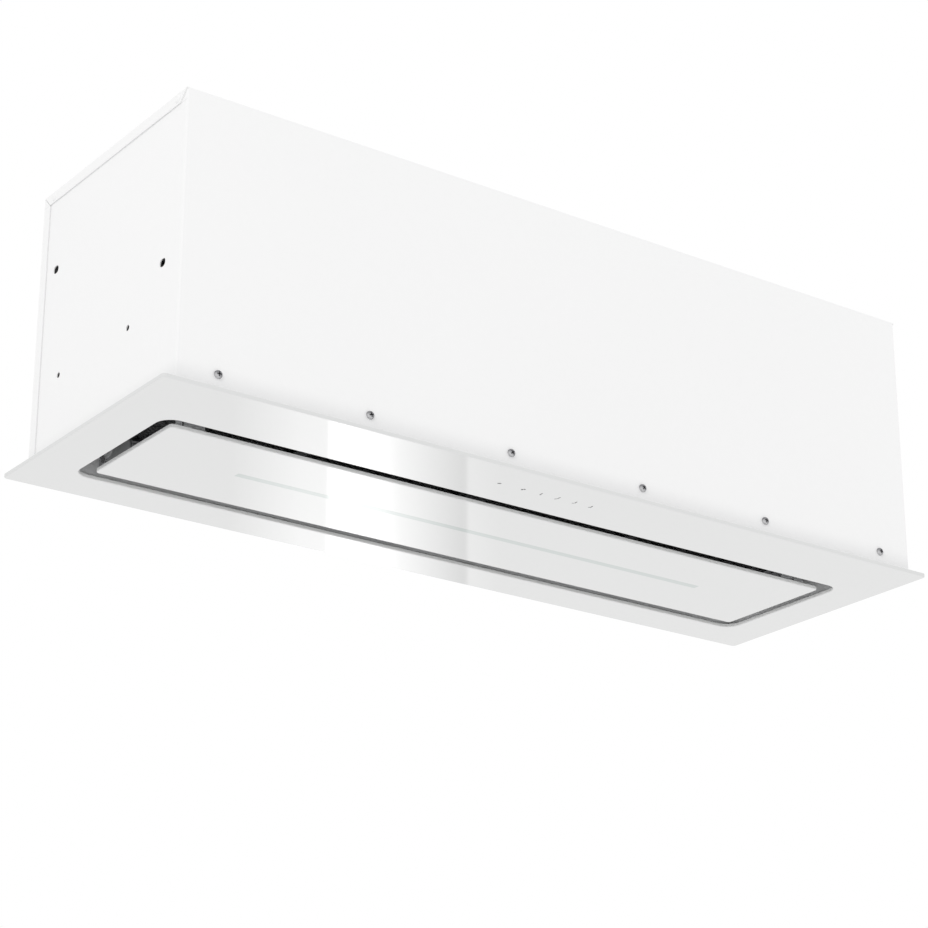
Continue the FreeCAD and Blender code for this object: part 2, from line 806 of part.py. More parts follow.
def pane_tray():
    base_level = level(glass_thickness)
    floor = (base_level, base_level + pane_sheet)
    span_x = grown(pane_x, -tray_end_inset)
    span_y = grown(pane_y, -tray_side_inset)
    pan = block(span_x, span_y, (base_level, base_level + tray_rim))
    hollow = block(grown(span_x, 1), grown(span_y, -pane_sheet), (floor[1], base_level + tray_rim + 1))
    tray = pan.cut(hollow)
    rims = edges_along(tray, X_AXIS, lambda p: p.z < base_level + running_gap)
    tray = tray.makeFillet(pane_sheet * outer_fold_share, rims)
    channel_x, channel_y = channel_span()
    slot = block(grown(channel_x, carrier_fit), grown(channel_y, carrier_fit), grown(floor, 1))
    save("pane_tray", tray.cut(slot))


def light_strip():
    base_level = level(glass_thickness)
    span_x, span_y = channel_span()
    top = base_level + channel_height
    outer = block(span_x, span_y, (base_level, top))
    room_x = grown(span_x, -channel_wall)
    room_y = grown(span_y, -channel_wall)
    room = block(room_x, room_y, (base_level - 1, top - channel_wall))
    save("light_channel", outer.cut(room))
    strip_width_y = around(strip_y, strip_width)
    save("light_diffuser", block(strip_x, strip_width_y, (base_level, base_level + diffuser_height)))
    board_top = top - channel_wall
    board_bottom = board_top - light_board_thickness
    board = block(strip_x, strip_width_y, (board_bottom, board_top))
    pitch = strip_length / light_count
    chips = []
    for i in range(light_count):
        x = glass_shift + (i - (light_count - 1) / 2) * pitch
        heights = (board_bottom - light_size / 3, board_bottom)
        chips.append(block(around(x, light_size), around(strip_y, light_size), heights))
    save("light_board", fused([board] + chips))


def bracket_faces():
    """Per end of the pane: the bracket's outer face and the side that it faces."""
    return ((pane_x[0] + bracket_inset, -1), (pane_x[1] - bracket_inset, 1))


def hinge_brackets():
    base = level(glass_thickness)
    centre = (hinge_y, level(hinge_level))
    wide = 2 * hinge_disc_radius
    arm_y = (hinge_y - bracket_reach, hinge_y)
    foot_y = (hinge_y - bracket_foot_front, pane_y[1] - bracket_foot_back)
    brackets = []
    for face, side in bracket_faces():
        start = face if side < 0 else face - bracket_sheet
        disc = rod((start, *centre), X_AXIS, hinge_disc_radius, bracket_sheet)
        boss_start = face - hinge_boss_height if side < 0 else face
        boss_centre = (hinge_y + hinge_boss_offset[0], level(hinge_level) + hinge_boss_offset[1])
        boss = rod((boss_start, *boss_centre), X_AXIS, hinge_boss_radius, hinge_boss_height)
        rivet_y = hinge_y - bracket_rivet_offset
        rivet_z = level(hinge_level) - bracket_rivet_offset
        rivet_start = face - bracket_rivet_height if side < 0 else face
        rivet = rod((rivet_start, rivet_y, rivet_z), X_AXIS, bracket_rivet_radius, bracket_rivet_height)
        below = block(around(start, wide), around(hinge_y, wide), (base - wide, base))
        heel = block(around(start, wide), (foot_y[1], foot_y[1] + wide), (base - wide, base + bracket_heel))
        arm = block((start, start + bracket_sheet), arm_y, (base, base + bracket_arm_height))
        nose = edges_along(arm, X_AXIS, lambda p: p.y < hinge_y - 1 and p.z > base + 1)
        arm = arm.makeFillet(bracket_nose, nose)
        foot_x = tuple(sorted((face, face - side * bracket_foot)))
        foot = block(foot_x, foot_y, (base, base + bracket_sheet))
        bore = rod((start - wide, *centre), X_AXIS, hinge_pin_radius + running_gap, 2 * wide)
        plate = fused([disc.cut([below, heel]), boss, arm, foot, rivet])
        brackets.append(plate.cut([bore, stop_slot(start)]))
    save("hinge_brackets", *brackets)


def stop_slot(start):
    """The curved slot that the stop stud runs in while the pane swings down."""
    half_width = stop_stud_radius + stop_clearance
    spare = math.degrees(stop_clearance / stop_radius)
    sweep = pane_swing + 2 * spare
    low = stop_start_angle - pane_swing - spare
    deep = bracket_sheet + 2
    origin = Vector(start - 1, hinge_y, level(hinge_level))
    ring = tube(origin, X_AXIS, stop_radius + half_width, stop_radius - half_width, deep)
    reach = 2 * hinge_disc_radius
    rays = [math.radians(low), math.radians(low + sweep / 2), math.radians(low + sweep)]
    wedge_points = [(origin.x, origin.y, origin.z)]
    for ray in rays:
        wedge_points.append((origin.x, origin.y + reach * math.cos(ray), origin.z + reach * math.sin(ray)))
    slot = ring.common(prism(wedge_points, Vector(deep, 0, 0)))
    ends = []
    for ray in (rays[0], rays[2]):
        y = origin.y + stop_radius * math.cos(ray)
        z = origin.z + stop_radius * math.sin(ray)
        ends.append(rod((origin.x, y, z), X_AXIS, half_width, deep))
    return fused([slot] + ends)


def hinge_pins():
    """Shoulder pins and stop studs, fixed in the liner's end walls and reaching to the brackets."""
    stop_y, stop_z = stop_point()
    walls = ((liner_x[0], -1), (liner_x[1], 1))
    solids = []
    for (wall, side), (face, _) in zip(walls, bracket_faces()):
        outer = wall + side * liner_sheet
        inner = face - side * (bracket_sheet + pin_overreach)
        for y, z, radius in (
            (hinge_y, level(hinge_level), hinge_pin_radius),
            (stop_y, stop_z, stop_stud_radius),
        ):
            start = min(outer, inner)
            shank = rod((start, y, z), X_AXIS, radius, abs(outer - inner))
            head_start = outer if side > 0 else outer - pin_head_thickness
            head = rod((head_start, y, z), X_AXIS, radius + pin_head_step, pin_head_thickness)
            neck_start = wall if side < 0 else wall - pin_shoulder_length
            shoulder = rod((neck_start, y, z), X_AXIS, radius + pin_shoulder_step, pin_shoulder_length)
            solids.append(fused([shank, head, shoulder]))
    save("hinge_pins", *solids)


def catch_centres():
    return (pane_x[0] + catch_inset, pane_x[1] - catch_inset)


def pane_catches():
    front = liner_y[0]
    back = pane_y[0] + strike_from_edge + strike_depth
    heights = (level(strike_level + magnet_gap), level(strike_level + magnet_gap + catch_height))
    blocks = []
    for x in catch_centres():
        blocks.append(rounded_block(around(x, catch_width), (front, back), heights, catch_corner))
    save("catch_blocks", *blocks)
    span_y = (pane_y[0] + strike_from_edge, back)
    base = level(glass_thickness)
    tab_level = level(strike_level - carrier_sheet)
    riser_y = (span_y[0], span_y[0] + carrier_sheet)
    strikes = []
    for x, offset, slot_offset in zip(catch_centres(), strike_offsets, strike_slot_offsets):
        span_x = around(x + offset, strike_length)
        foot = block(span_x, span_y, (base, base + carrier_sheet))
        slot_x = around(x + slot_offset, strike_slot)
        slot = block(slot_x, grown(riser_y, 1), (base + carrier_sheet, tab_level))
        riser = block(span_x, riser_y, (base, level(strike_level)))
        tab = block(span_x, span_y, (tab_level, level(strike_level)))
        strikes.append(fused([foot, riser, tab]).cut(slot))
    save("strike_plates", *strikes)


# ---------------------------------------------------------------- blower


def fan_point(y, z):
    return Vector(0, fan_y + y, fan_z + z)


def arc_about(centre_y, centre_z, radius, start, end):
    """An arc in the YZ plane about a point given from the fan's axis; angles run from +Y towards +Z."""
    points = []
    for angle in (start, (start + end) / 2, end):
        turn = math.radians(angle)
        points.append(fan_point(centre_y + radius * math.cos(turn), centre_z + radius * math.sin(turn)))
    return Part.Arc(*points).toShape()


def scroll_face(wall):
    """The scroll's outline: four arcs on the corners of a square, then straight up to the outlet."""
    step = scroll_step / 2
    radius = scroll_radius + wall
    first = arc_about(-step, step, radius - scroll_step, tongue_angle, 90)
    second = arc_about(-step, -step, radius, 90, 180)
    third = arc_about(step, -step, radius + scroll_step, 180, 270)
    fourth = arc_about(step, step, radius + 2 * scroll_step, 270, 360)
    tongue = tongue_point()
    tongue_y = tongue.y - wall
    if wall:
        meet = math.degrees(math.acos((tongue_y - fan_y + step) / (radius - scroll_step)))
        first = arc_about(-step, step, radius - scroll_step, meet, 90)
    start = first.Vertexes[0].Point
    last = fourth.Vertexes[-1].Point
    corners = [last, Vector(0, last.y, outlet_plane), Vector(0, tongue_y, outlet_plane), start]
    lines = [Part.makeLine(a, b) for a, b in zip(corners, corners[1:])]
    edges = Part.sortEdges([first, second, third, fourth] + lines)[0]
    return Part.Face(Part.Wire(edges))


def tongue_point():
    turn = math.radians(tongue_angle)
    step = scroll_step / 2
    radius = scroll_radius - scroll_step
    return fan_point(-step + radius * math.cos(turn), step + radius * math.sin(turn))


def outlet_span():
    """The outlet's clear span along Y."""
    return tongue_point().y, fan_y + scroll_radius + 2.5 * scroll_step


def scroll():
    """The wrap that follows the scroll's outline, and the two sides with their inlets."""
    outer = scroll_face(scroll_wall)
    wrap = outer.cut(scroll_face(0.0)).extrude(Vector(2 * scroll_half_width, 0, 0))
    wrap.translate(Vector(-scroll_half_width, 0, 0))
    save("scroll_wrap", wrap)
    side = outer.extrude(Vector(scroll_wall, 0, 0))
    side.translate(Vector(scroll_half_width, 0, 0))
    lip_start = (scroll_half_width - inlet_lip, fan_y, fan_z)
    lip_wall = impeller_inner_radius - running_gap - inlet_radius - inlet_lip_gap
    lip = tube(lip_start, X_AXIS, inlet_radius + lip_wall, inlet_radius, inlet_lip)
    span = outlet_span()
    flange = block(
        (cap_face, cap_face + outlet_flange),
        grown(span, scroll_wall),
        (outlet_plane - outlet_flange_thickness, outlet_plane),
    )
    eye = rod((0, fan_y, fan_z), X_AXIS, inlet_radius, 2 * scroll_half_width)
    side = fused([side.cut(eye), lip, flange])
    save("scroll_right", side)
    save("scroll_left", mirrored_x(side))


def outlet_adapter():
    top = -casing_sheet
    span = outlet_span()
    pieces = []
    for wall in (adapter_wall, 0.0):
        x = scroll_half_width + wall
        y_low, y_high = grown(span, wall)
        corners = [(x, y_high), (-x, y_high), (-x, y_low), (x, y_low)]
        low = Part.makePolygon([Vector(a, b, outlet_plane) for a, b in corners + corners[:1]])
        radius = collar_inner_radius - flap_ledge_width + wall
        arcs = []
        for i in range(4):
            turns = [math.radians(45 + 90 * i + 45 * k) for k in range(3)]
            points = [Vector(radius * math.cos(t), collar_y + radius * math.sin(t), top) for t in turns]
            arcs.append(Part.Arc(*points).toShape())
        pieces.append(Part.makeLoft([low, Part.Wire(arcs)], True, True))
    radius = collar_inner_radius - flap_ledge_width
    ring_base = (0, collar_y, top - collar_flange_thickness)
    ring = tube(ring_base, Z_AXIS, collar_flange_radius, radius, collar_flange_thickness)
    ears = [
        block(
            tuple(sorted((side * scroll_half_width, side * (cap_face + outlet_flange)))),
            grown(span, scroll_wall),
            (outlet_plane, outlet_plane + outlet_flange_thickness),
        )
        for side in (-1, 1)
    ]
    body = fused([pieces[0], ring] + ears)
    deep = 4 * collar_flange_thickness
    holes = [rod((x, y, top - deep), Z_AXIS, thread_hole_radius, 2 * deep) for x, y in collar_bolt_points()]
    save("outlet_adapter", drilled(body, [pieces[1]] + holes))


def blade_section():
    """One blade's outline in the YZ plane, about the origin: two arcs and two short ends."""
    lean = math.radians(blade_lean)
    root = Vector(0, impeller_inner_radius, 0)
    tip_radius = impeller_radius - blade_overlap
    tip = Vector(0, tip_radius * math.cos(lean), tip_radius * math.sin(lean))
    chord = tip - root
    normal = Vector(0, -chord.z, chord.y)
    normal.normalize()
    middle = (root + tip) * 0.5 - normal * blade_bow
    half = normal * (blade_thickness / 2)
    lower = Part.Arc(root - half, middle - half, tip - half).toShape()
    upper = Part.Arc(root + half, middle + half, tip + half).toShape()
    ends = [Part.makeLine(root - half, root + half), Part.makeLine(tip - half, tip + half)]
    return Part.Face(Part.Wire(Part.sortEdges([lower, upper] + ends)[0]))


def impeller():
    """A middle disc with its hub and bush, two end rings, and the blades that run between the rings."""
    blade_end = impeller_half_width - impeller_ring
    blade = blade_section().extrude(Vector(2 * blade_end, 0, 0))
    blade.translate(Vector(-blade_end, fan_y, fan_z))
    axis_point = Vector(0, fan_y, fan_z)
    blades = []
    for i in range(blade_count):
        turned = blade.copy()
        turned.rotate(axis_point, X_AXIS, i * 360 / blade_count)
        blades.append(turned)
    save("impeller_blades", *blades)
    rings = []
    for start in (-impeller_half_width, blade_end):
        ring = fan_rod(start, impeller_radius, impeller_ring)
        rings.append(ring.cut(fan_rod(start, impeller_radius - impeller_ring_width, impeller_ring)))
    save("impeller_rings", *rings)
    disc = fan_rod(-impeller_disc / 2, impeller_radius - impeller_disc_step, impeller_disc)
    hub_start = -impeller_disc / 2 - hub_length
    hub_full = hub_length + impeller_disc
    wheel = fused([disc, fan_rod(hub_start, hub_radius, hub_full)])
    bore = fan_rod(hub_start, hub_bush_radius(), hub_full)
    save("impeller_disc", drilled(wheel, [bore] + blades))
    save("impeller_bush", bore.cut(fan_rod(hub_start, shaft_radius, hub_full)))


def hub_bush_radius():
    return (hub_radius + shaft_radius) / 2


def motor_stretch():
    """The housing's two ends along X: its closed end and the face that the cap closes."""
    return motor_start, cap_face - motor_cap_thickness


def fan_rod(start, radius, length):
    return rod((start, fan_y, fan_z), X_AXIS, radius, length)


def motor():
    start, end = motor_stretch()
    room_radius = motor_radius - motor_wall
    boss = fan_rod(start - boss_reach, boss_radius, boss_reach)
    shell = fused([fan_rod(start, motor_radius, end - start), boss])
    room = fan_rod(start + motor_wall, room_radius, end - start)
    seat_end = start - boss_reach + motor_wall + bearing_width
    seat = fan_rod(start - boss_reach + motor_wall, bearing_radius, bearing_width)
    boss_inside = fan_rod(start, boss_radius, seat_end - start)
    shaft_hole = fan_rod(start - 2 * boss_reach, shaft_radius + shaft_hole_gap, 4 * boss_reach)
    housing = fused([shell.cut(room), boss_inside]).cut([seat, shaft_hole])
    save("motor_housing", housing)
    cap = fan_rod(end, motor_radius, motor_cap_thickness)
    cap_seat_start = cap_face - bearing_width
    cap_boss = fan_rod(cap_seat_start, boss_radius, bearing_width)
    cap_seat = fan_rod(cap_seat_start - 1, bearing_radius, bearing_width + 1 - motor_wall)
    save("motor_end_cap", fused([cap, cap_boss]).cut(cap_seat))
    near = start - boss_reach + motor_wall
    far = cap_face - motor_wall - bearing_width
    bearings = []
    for place in (near, far):
        ring = fan_rod(place, bearing_radius, bearing_width)
        bearings.append(ring.cut(fan_rod(place - 1, shaft_radius + running_gap, bearing_width + 2)))
    save("motor_bearings", *bearings)
    middle = (start + motor_wall + end) / 2
    core_start = middle - stator_length / 2
    stator = fan_rod(core_start, room_radius, stator_length)
    stator = stator.cut(fan_rod(core_start - 1, stator_inner_radius, stator_length + 2))
    save("motor_stator", stator)
    windings = []
    winding_bore = stator_inner_radius + winding_inset
    for place in (core_start - winding_length, core_start + stator_length):
        coil = fan_rod(place, room_radius - winding_inset, winding_length)
        windings.append(coil.cut(fan_rod(place - 1, winding_bore, winding_length + 2)))
    save("motor_windings", *windings)
    rotor = fan_rod(core_start, stator_inner_radius - air_gap, stator_length)
    save("motor_rotor", rotor.cut(fan_rod(core_start - 1, shaft_radius, stator_length + 2)))
    shaft_end = far + bearing_width
    save("motor_shaft", fan_rod(-shaft_reach, shaft_radius, shaft_end + shaft_reach))


def motor_bracket():
    ring_outer = inlet_radius + bracket_ring_width
    start = (cap_face, fan_y, fan_z)
    ring = tube(start, X_AXIS, ring_outer, inlet_radius, bracket_plate)
    centre = fan_rod(cap_face, motor_radius - bracket_centre_inset, bracket_plate)
    arms = []
    for i in range(bracket_arms):
        arm = block(
            (cap_face, cap_face + bracket_plate),
            around(0, bracket_arm),
            (motor_radius / 2, inlet_radius + bracket_ring_width / 2),
        )
        arm.rotate(Vector(0, 0, 0), X_AXIS, i * 360 / bracket_arms)
        arm.translate(Vector(0, fan_y, fan_z))
        arms.append(arm)
    save("motor_bracket", fused([ring, centre] + arms))


# ---------------------------------------------------------------- outlet collar and flaps


def outlet_collar():
    base = (0, collar_y, 0)
    neck = tube(base, Z_AXIS, collar_radius, collar_inner_radius, collar_height)
    rims = [edge for edge in neck.Edges if abs(edge.CenterOfMass.z - collar_height) < 1e-6]
    outer_rim = [edge for edge in rims if edge.Curve.Radius > collar_radius - collar_wall / 2]
    neck = neck.makeChamfer(collar_wall / 2, outer_rim)
    flange = tube(base, Z_AXIS, collar_flange_radius, collar_inner_radius, collar_flange_thickness)
    ledge_base = (0, collar_y, flap_ledge_level - flap_ledge_height)
    ledge_inner = collar_inner_radius - flap_ledge_width
    ledge = tube(ledge_base, Z_AXIS, collar_inner_radius, ledge_inner, flap_ledge_height)
    deep = 2 * collar_flange_thickness
    holes = [rod((x, y, -deep), Z_AXIS, thread_hole_radius, 3 * deep) for x, y in collar_bolt_points()]
    axle_start = (-collar_radius - 1, collar_y, axle_level)
    axle_hole = rod(axle_start, X_AXIS, axle_radius, 2 * collar_radius + 2)
    save("outlet_collar", drilled(fused([neck, flange, ledge]), holes + [axle_hole]))
    reach = math.sqrt(collar_radius**2 - (2 * axle_radius) ** 2)
    save("flap_axle", rod((-reach, collar_y, axle_level), X_AXIS, axle_radius, 2 * reach))
    screw = pan_screw(screw_shank_radius, screw_shank_length, screw_head_radius, screw_head_height)
    points = [(x, y, collar_flange_thickness) for x, y in collar_bolt_points()]
    save("collar_screws", *[placed(screw, point, Z_AXIS) for point in points])


def flap(node, side, own_knuckles):
    """A half disc that closes one side of the collar: side is -1 for the front flap, 1 for the rear."""
    bottom = flap_ledge_level + flap_seat_gap
    radius = collar_inner_radius - flap_rim_gap
    disc = rod((0, collar_y, bottom), Z_AXIS, radius, flap_thickness)
    keep_y = tuple(sorted((collar_y + side * flap_middle_gap, collar_y + side * 2 * radius)))
    half = disc.common(block((-radius, radius), keep_y, (bottom - 1, bottom + flap_thickness + 1)))
    pitch = knuckle_length + knuckle_gap
    first = -(knuckle_count - 1) / 2 * pitch
    pieces = [half]
    for i in own_knuckles:
        x = first + i * pitch
        start = (x - knuckle_length / 2, collar_y, axle_level)
        pieces.append(rod(start, X_AXIS, knuckle_radius, knuckle_length))
        web_y = tuple(sorted((collar_y, collar_y + side * (flap_middle_gap + knuckle_radius))))
        pieces.append(block(around(x, knuckle_length), web_y, (bottom, bottom + flap_thickness)))
    bore = rod((-radius, collar_y, axle_level), X_AXIS, axle_radius + running_gap, 2 * radius)
    save(node, fused(pieces).cut(bore))


# ---------------------------------------------------------------- electrical pieces and hangers


def control_box():
    length, depth, height = control_size
    span_x = around(control_x, length)
    span_y = around(0, depth)
    top = -casing_sheet
    heights = (top - height, top)
    outer = rounded_block(span_x, span_y, heights, control_corner)
    room_heights = (heights[0] - 1, top - control_wall)
    room = block(grown(span_x, -control_wall), grown(span_y, -control_wall), room_heights)
    save("control_box", outer.cut(room))
    lid_heights = (heights[0] - control_lid, heights[0])
    save("control_box_lid", rounded_block(span_x, span_y, lid_heights, control_corner))
    board_x = grown(span_x, -control_board_margin)
    board_y = grown(span_y, -control_board_margin)
    board_top = top - control_wall - standoff_height
    board = block(board_x, board_y, (board_top - board_thickness, board_top))
    below = board_top - board_thickness
    parts = []
    for x, y, part_length, part_depth, part_height in board_blocks:
        spans = (around(control_x + x, part_length), around(y, part_depth))
        parts.append(block(spans[0], spans[1], (below - part_height, below)))
    can_x, can_y, can_radius, can_height = board_can
    parts.append(rod((control_x + can_x, can_y, below - can_height), Z_AXIS, can_radius, can_height))
    for x in grown(board_x, -standoff_inset):
        for y in grown(board_y, -standoff_inset):
            parts.append(rod((x, y, board_top), Z_AXIS, standoff_radius, standoff_height))
    save("control_board", fused([board] + parts))


def light_driver():
    length, depth, height = driver_size
    top = -casing_sheet
    heights = (top - height, top)
    body = rounded_block(around(driver_x, length), around(0, depth), heights, driver_corner)
    ear_heights = (top - driver_ear_thickness, top)
    ears = block(around(driver_x, length + 2 * driver_ear), around(0, depth / 2), ear_heights)
    shape = fused([body, ears])
    holes = []
    for side in (-1, 1):
        x = driver_x + side * (length + driver_ear) / 2
        start = (x, 0, top - 2 * driver_ear_thickness)
        holes.append(rod(start, Z_AXIS, screw_hole_radius, 3 * driver_ear_thickness))
    save("light_driver", drilled(shape, holes))


def motor_capacitor():
    top = -casing_sheet
    z = top - capacitor_radius
    start = (capacitor_x - capacitor_length / 2, capacitor_y, z)
    can = rod(start, X_AXIS, capacitor_radius, capacitor_length)
    rims = [edge for edge in can.Edges if isinstance(edge.Curve, Part.Circle)]
    save("motor_capacitor", can.makeFillet(capacitor_round, rims))
    strap_start = (capacitor_x - strap_width / 2, capacitor_y, z)
    hoop_radius = capacitor_radius + running_gap
    outer_radius = hoop_radius + strap_thickness
    hoop = tube(strap_start, X_AXIS, outer_radius, hoop_radius, strap_width)
    span_x = around(capacitor_x, strap_width)
    lower = hoop.common(block(span_x, around(capacitor_y, 4 * outer_radius), (z - 2 * outer_radius, z)))
    pieces = [lower]
    for side in (-1, 1):
        inner = capacitor_y + side * hoop_radius
        leg_y = tuple(sorted((inner, inner + side * strap_thickness)))
        foot_y = tuple(sorted((inner, inner + side * strap_foot)))
        pieces.append(block(span_x, leg_y, (z, top)))
        pieces.append(block(span_x, foot_y, (top - strap_thickness, top)))
    save("capacitor_strap", fused(pieces))


def cable_gland():
    base = (gland_x, gland_y, -casing_sheet - gland_below)
    stem = rod(base, Z_AXIS, gland_thread_radius, gland_below + casing_sheet)
    collar = rod((gland_x, gland_y, 0), Z_AXIS, gland_collar_radius, gland_collar_height)
    dome_height = gland_above - gland_collar_height
    dome_base = Vector(gland_x, gland_y, gland_collar_height)
    dome_radii = (gland_collar_radius - gland_shoulder, gland_bore + gland_top_wall)
    dome = Part.makeCone(dome_radii[0], dome_radii[1], dome_height, dome_base, Z_AXIS)
    bore = rod(base, Z_AXIS, gland_bore, gland_below + casing_sheet + gland_above)
    save("cable_gland", fused([stem, collar, dome]).cut(bore))
    nut_top = -casing_sheet
    nut_base = (gland_x, gland_y, nut_top - gland_nut_height)
    corners = []
    for i in range(6):
        turn = math.radians(60 * i)
        radius = gland_collar_radius
        corners.append((gland_x + radius * math.cos(turn), gland_y + radius * math.sin(turn), nut_base[2]))
    nut = prism(corners, Vector(0, 0, gland_nut_height))
    save("gland_nut", nut.cut(rod(nut_base, Z_AXIS, gland_thread_radius, gland_nut_height)))


def hanger_plates():
    length, depth, height = hanger_plate_size
    top = -casing_sheet
    plates = []
    for x, y in hanger_points():
        spans = (around(x, length), around(y, depth))
        plate = rounded_block(spans[0], spans[1], (top - height, top), hanger_plate_corner)
        plates.append(plate.cut(rod((x, y, top - 2 * height), Z_AXIS, hanger_hole_radius, 3 * height)))
    save("hanger_plates", *plates)


def build():
    os.makedirs("parts", exist_ok=True)
    casing_wrap()
    top_cover()
    back_panel()
    flange_rivets()
    casing_screws()
    weld_nuts()
    glass_frame()
    bond_tape()
    glass_carrier()
    touch_controls()
    filter_frame()
    for name, centre in zip(("filter_left", "filter_right"), filter_xs()):
        filter_set(name, centre)
    suction_pane()
    pane_tray()
    light_strip()
    hinge_brackets()
    hinge_pins()
    pane_catches()
    scroll()
    outlet_adapter()
    impeller()
    motor()
    motor_bracket()
    outlet_collar()
    flap("flap_front", -1, range(0, knuckle_count, 2))
    flap("flap_rear", 1, range(1, knuckle_count, 2))
    control_box()
    light_driver()
    motor_capacitor()
    cable_gland()
    hanger_plates()


build()
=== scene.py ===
# %% [markdown]
# # A flush ceiling hood
# The hood is a long white sheet-steel casing that stands up inside a ceiling. Below it lies a frame of white
# glass, and in the frame's opening hangs a second glass pane, with a gap all round through which air is drawn.
# The measured pieces come in as a fixed frame, in metres. This lesson gives them their finishes, and makes the
# small pieces that need more detail than the frame has: screws, rivets, expanded mesh and printed keys.

# %% load the measured pieces
import bpy
import bmesh
import json
import math
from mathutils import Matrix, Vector


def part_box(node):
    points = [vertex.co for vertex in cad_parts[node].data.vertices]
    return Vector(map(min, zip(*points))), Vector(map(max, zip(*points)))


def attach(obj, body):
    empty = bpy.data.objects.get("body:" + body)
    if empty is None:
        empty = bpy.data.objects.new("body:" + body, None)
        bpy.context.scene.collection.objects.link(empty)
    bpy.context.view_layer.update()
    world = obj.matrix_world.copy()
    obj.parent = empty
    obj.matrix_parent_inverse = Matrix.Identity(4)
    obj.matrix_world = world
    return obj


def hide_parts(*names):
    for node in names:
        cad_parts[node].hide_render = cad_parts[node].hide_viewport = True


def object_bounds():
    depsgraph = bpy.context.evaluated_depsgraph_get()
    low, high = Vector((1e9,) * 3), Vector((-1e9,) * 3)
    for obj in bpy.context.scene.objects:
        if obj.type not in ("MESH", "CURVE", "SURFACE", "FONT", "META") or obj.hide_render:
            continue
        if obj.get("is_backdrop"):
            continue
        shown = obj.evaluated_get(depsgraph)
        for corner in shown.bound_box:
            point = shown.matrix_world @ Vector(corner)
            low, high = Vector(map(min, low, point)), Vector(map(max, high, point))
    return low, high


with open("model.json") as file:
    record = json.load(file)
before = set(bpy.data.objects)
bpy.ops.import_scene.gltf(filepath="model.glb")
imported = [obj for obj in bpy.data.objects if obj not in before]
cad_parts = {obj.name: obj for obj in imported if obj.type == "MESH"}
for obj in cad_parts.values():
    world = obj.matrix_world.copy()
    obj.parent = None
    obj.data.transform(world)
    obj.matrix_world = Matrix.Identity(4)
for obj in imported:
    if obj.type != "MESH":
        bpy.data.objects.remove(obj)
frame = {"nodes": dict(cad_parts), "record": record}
cad_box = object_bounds()
MM = 0.001

# %% [markdown]
# ## Where the eye stands
# The view looks up at the hood from the front left. A pinhole camera was solved from the glass frame's corners,
# the casing's corners and the row of screws, so the camera stands where the real one stood. Its roll is zero,
# and a long lens of 100 mm keeps the sides nearly parallel.

# %% the camera
camera_place = Vector((-1.42414, -1.91881, -1.14340))
camera_aim = Vector((0.54699, 0.75522, 0.36117))
camera_data = bpy.data.cameras.new("camera")
camera_data.lens = 100.55
camera_data.sensor_width = 36.0
camera_data.clip_start = 0.05
camera_data.clip_end = 100.0
camera = bpy.data.objects.new("camera", camera_data)
camera.location = camera_place
camera.rotation_mode = "QUATERNION"
camera.rotation_quaternion = camera_aim.to_track_quat("-Z", "Y")
bpy.context.scene.collection.objects.link(camera)
bpy.context.scene.camera = camera
print("camera looks up by", round(math.degrees(math.asin(camera_aim.normalized().z)), 1), "degrees")

# %% [markdown]
# ## A short way to write shader nodes
# Every finish here is a small network of nodes. Written out in full, each node takes five or six lines, so one
# helper makes a node, sets its properties and fills its inputs with values or with other nodes' outputs.
# Effects that several finishes share are node groups, made once and placed with their own values.

# %% helpers for nodes
SOCKET_KINDS = {
    "float": "NodeSocketFloat",
    "color": "NodeSocketColor",
    "vector": "NodeSocketVector",
    "int": "NodeSocketInt",
    "material": "NodeSocketMaterial",
    "geometry": "NodeSocketGeometry",
}


def add(tree, kind, inputs=None, **settings):
    """Add a node. settings are its properties, inputs are values or sockets by the input's name or number."""
    node = tree.nodes.new(kind)
    for key, value in settings.items():
        setattr(node, key, value)
    for key, value in (inputs or {}).items():
        if isinstance(value, bpy.types.NodeSocket):
            tree.links.new(value, node.inputs[key])
        else:
            node.inputs[key].default_value = value
    return node


def vector_maths(tree, operation, *values):
    """A Vector Math node's vector result."""
    return add(tree, "ShaderNodeVectorMath", dict(enumerate(values)), operation=operation).outputs[0]


def combine(tree, parts):
    """A vector from values or sockets by the axis's number."""
    return add(tree, "ShaderNodeCombineXYZ", parts).outputs[0]


def separate(tree, vector):
    """A vector's three parts."""
    return add(tree, "ShaderNodeSeparateXYZ", {0: vector}).outputs


def object_place(tree):
    """The shaded point in the object's own coordinates."""
    return add(tree, "ShaderNodeTexCoord").outputs["Object"]


def maths(tree, operation, *values):
    """A Math node's result."""
    return add(tree, "ShaderNodeMath", dict(enumerate(values)), operation=operation).outputs[0]


def new_tree(name, kind, inputs, outputs):
    """A node group with named sockets: inputs are (name, kind, value), outputs are (name, kind)."""
    tree = bpy.data.node_groups.new(name, kind)
    for label, socket, value in inputs:
        made = tree.interface.new_socket(label, in_out="INPUT", socket_type=SOCKET_KINDS[socket])
        if value is not None:
            made.default_value = value
    for label, socket in outputs:
        tree.interface.new_socket(label, in_out="OUTPUT", socket_type=SOCKET_KINDS[socket])
    ends = (tree.nodes.new("NodeGroupInput").outputs, tree.nodes.new("NodeGroupOutput").inputs)
    return tree, ends[0], ends[1]


def place(tree, group, inputs):
    """Place a shader group in a tree."""
    return add(tree, "ShaderNodeGroup", inputs, node_tree=group).outputs


def show(thing):
    """Put an object in the scene."""
    bpy.context.scene.collection.objects.link(thing)


print("node helpers ready for", len(SOCKET_KINDS), "kinds of socket")

# %% [markdown]
# ## Uneven tone
# No real surface has one exact colour. A slow noise makes broad patches a little lighter or darker, and a
# second, quicker one adds a trace of dust. The group multiplies a colour by both, through its value.

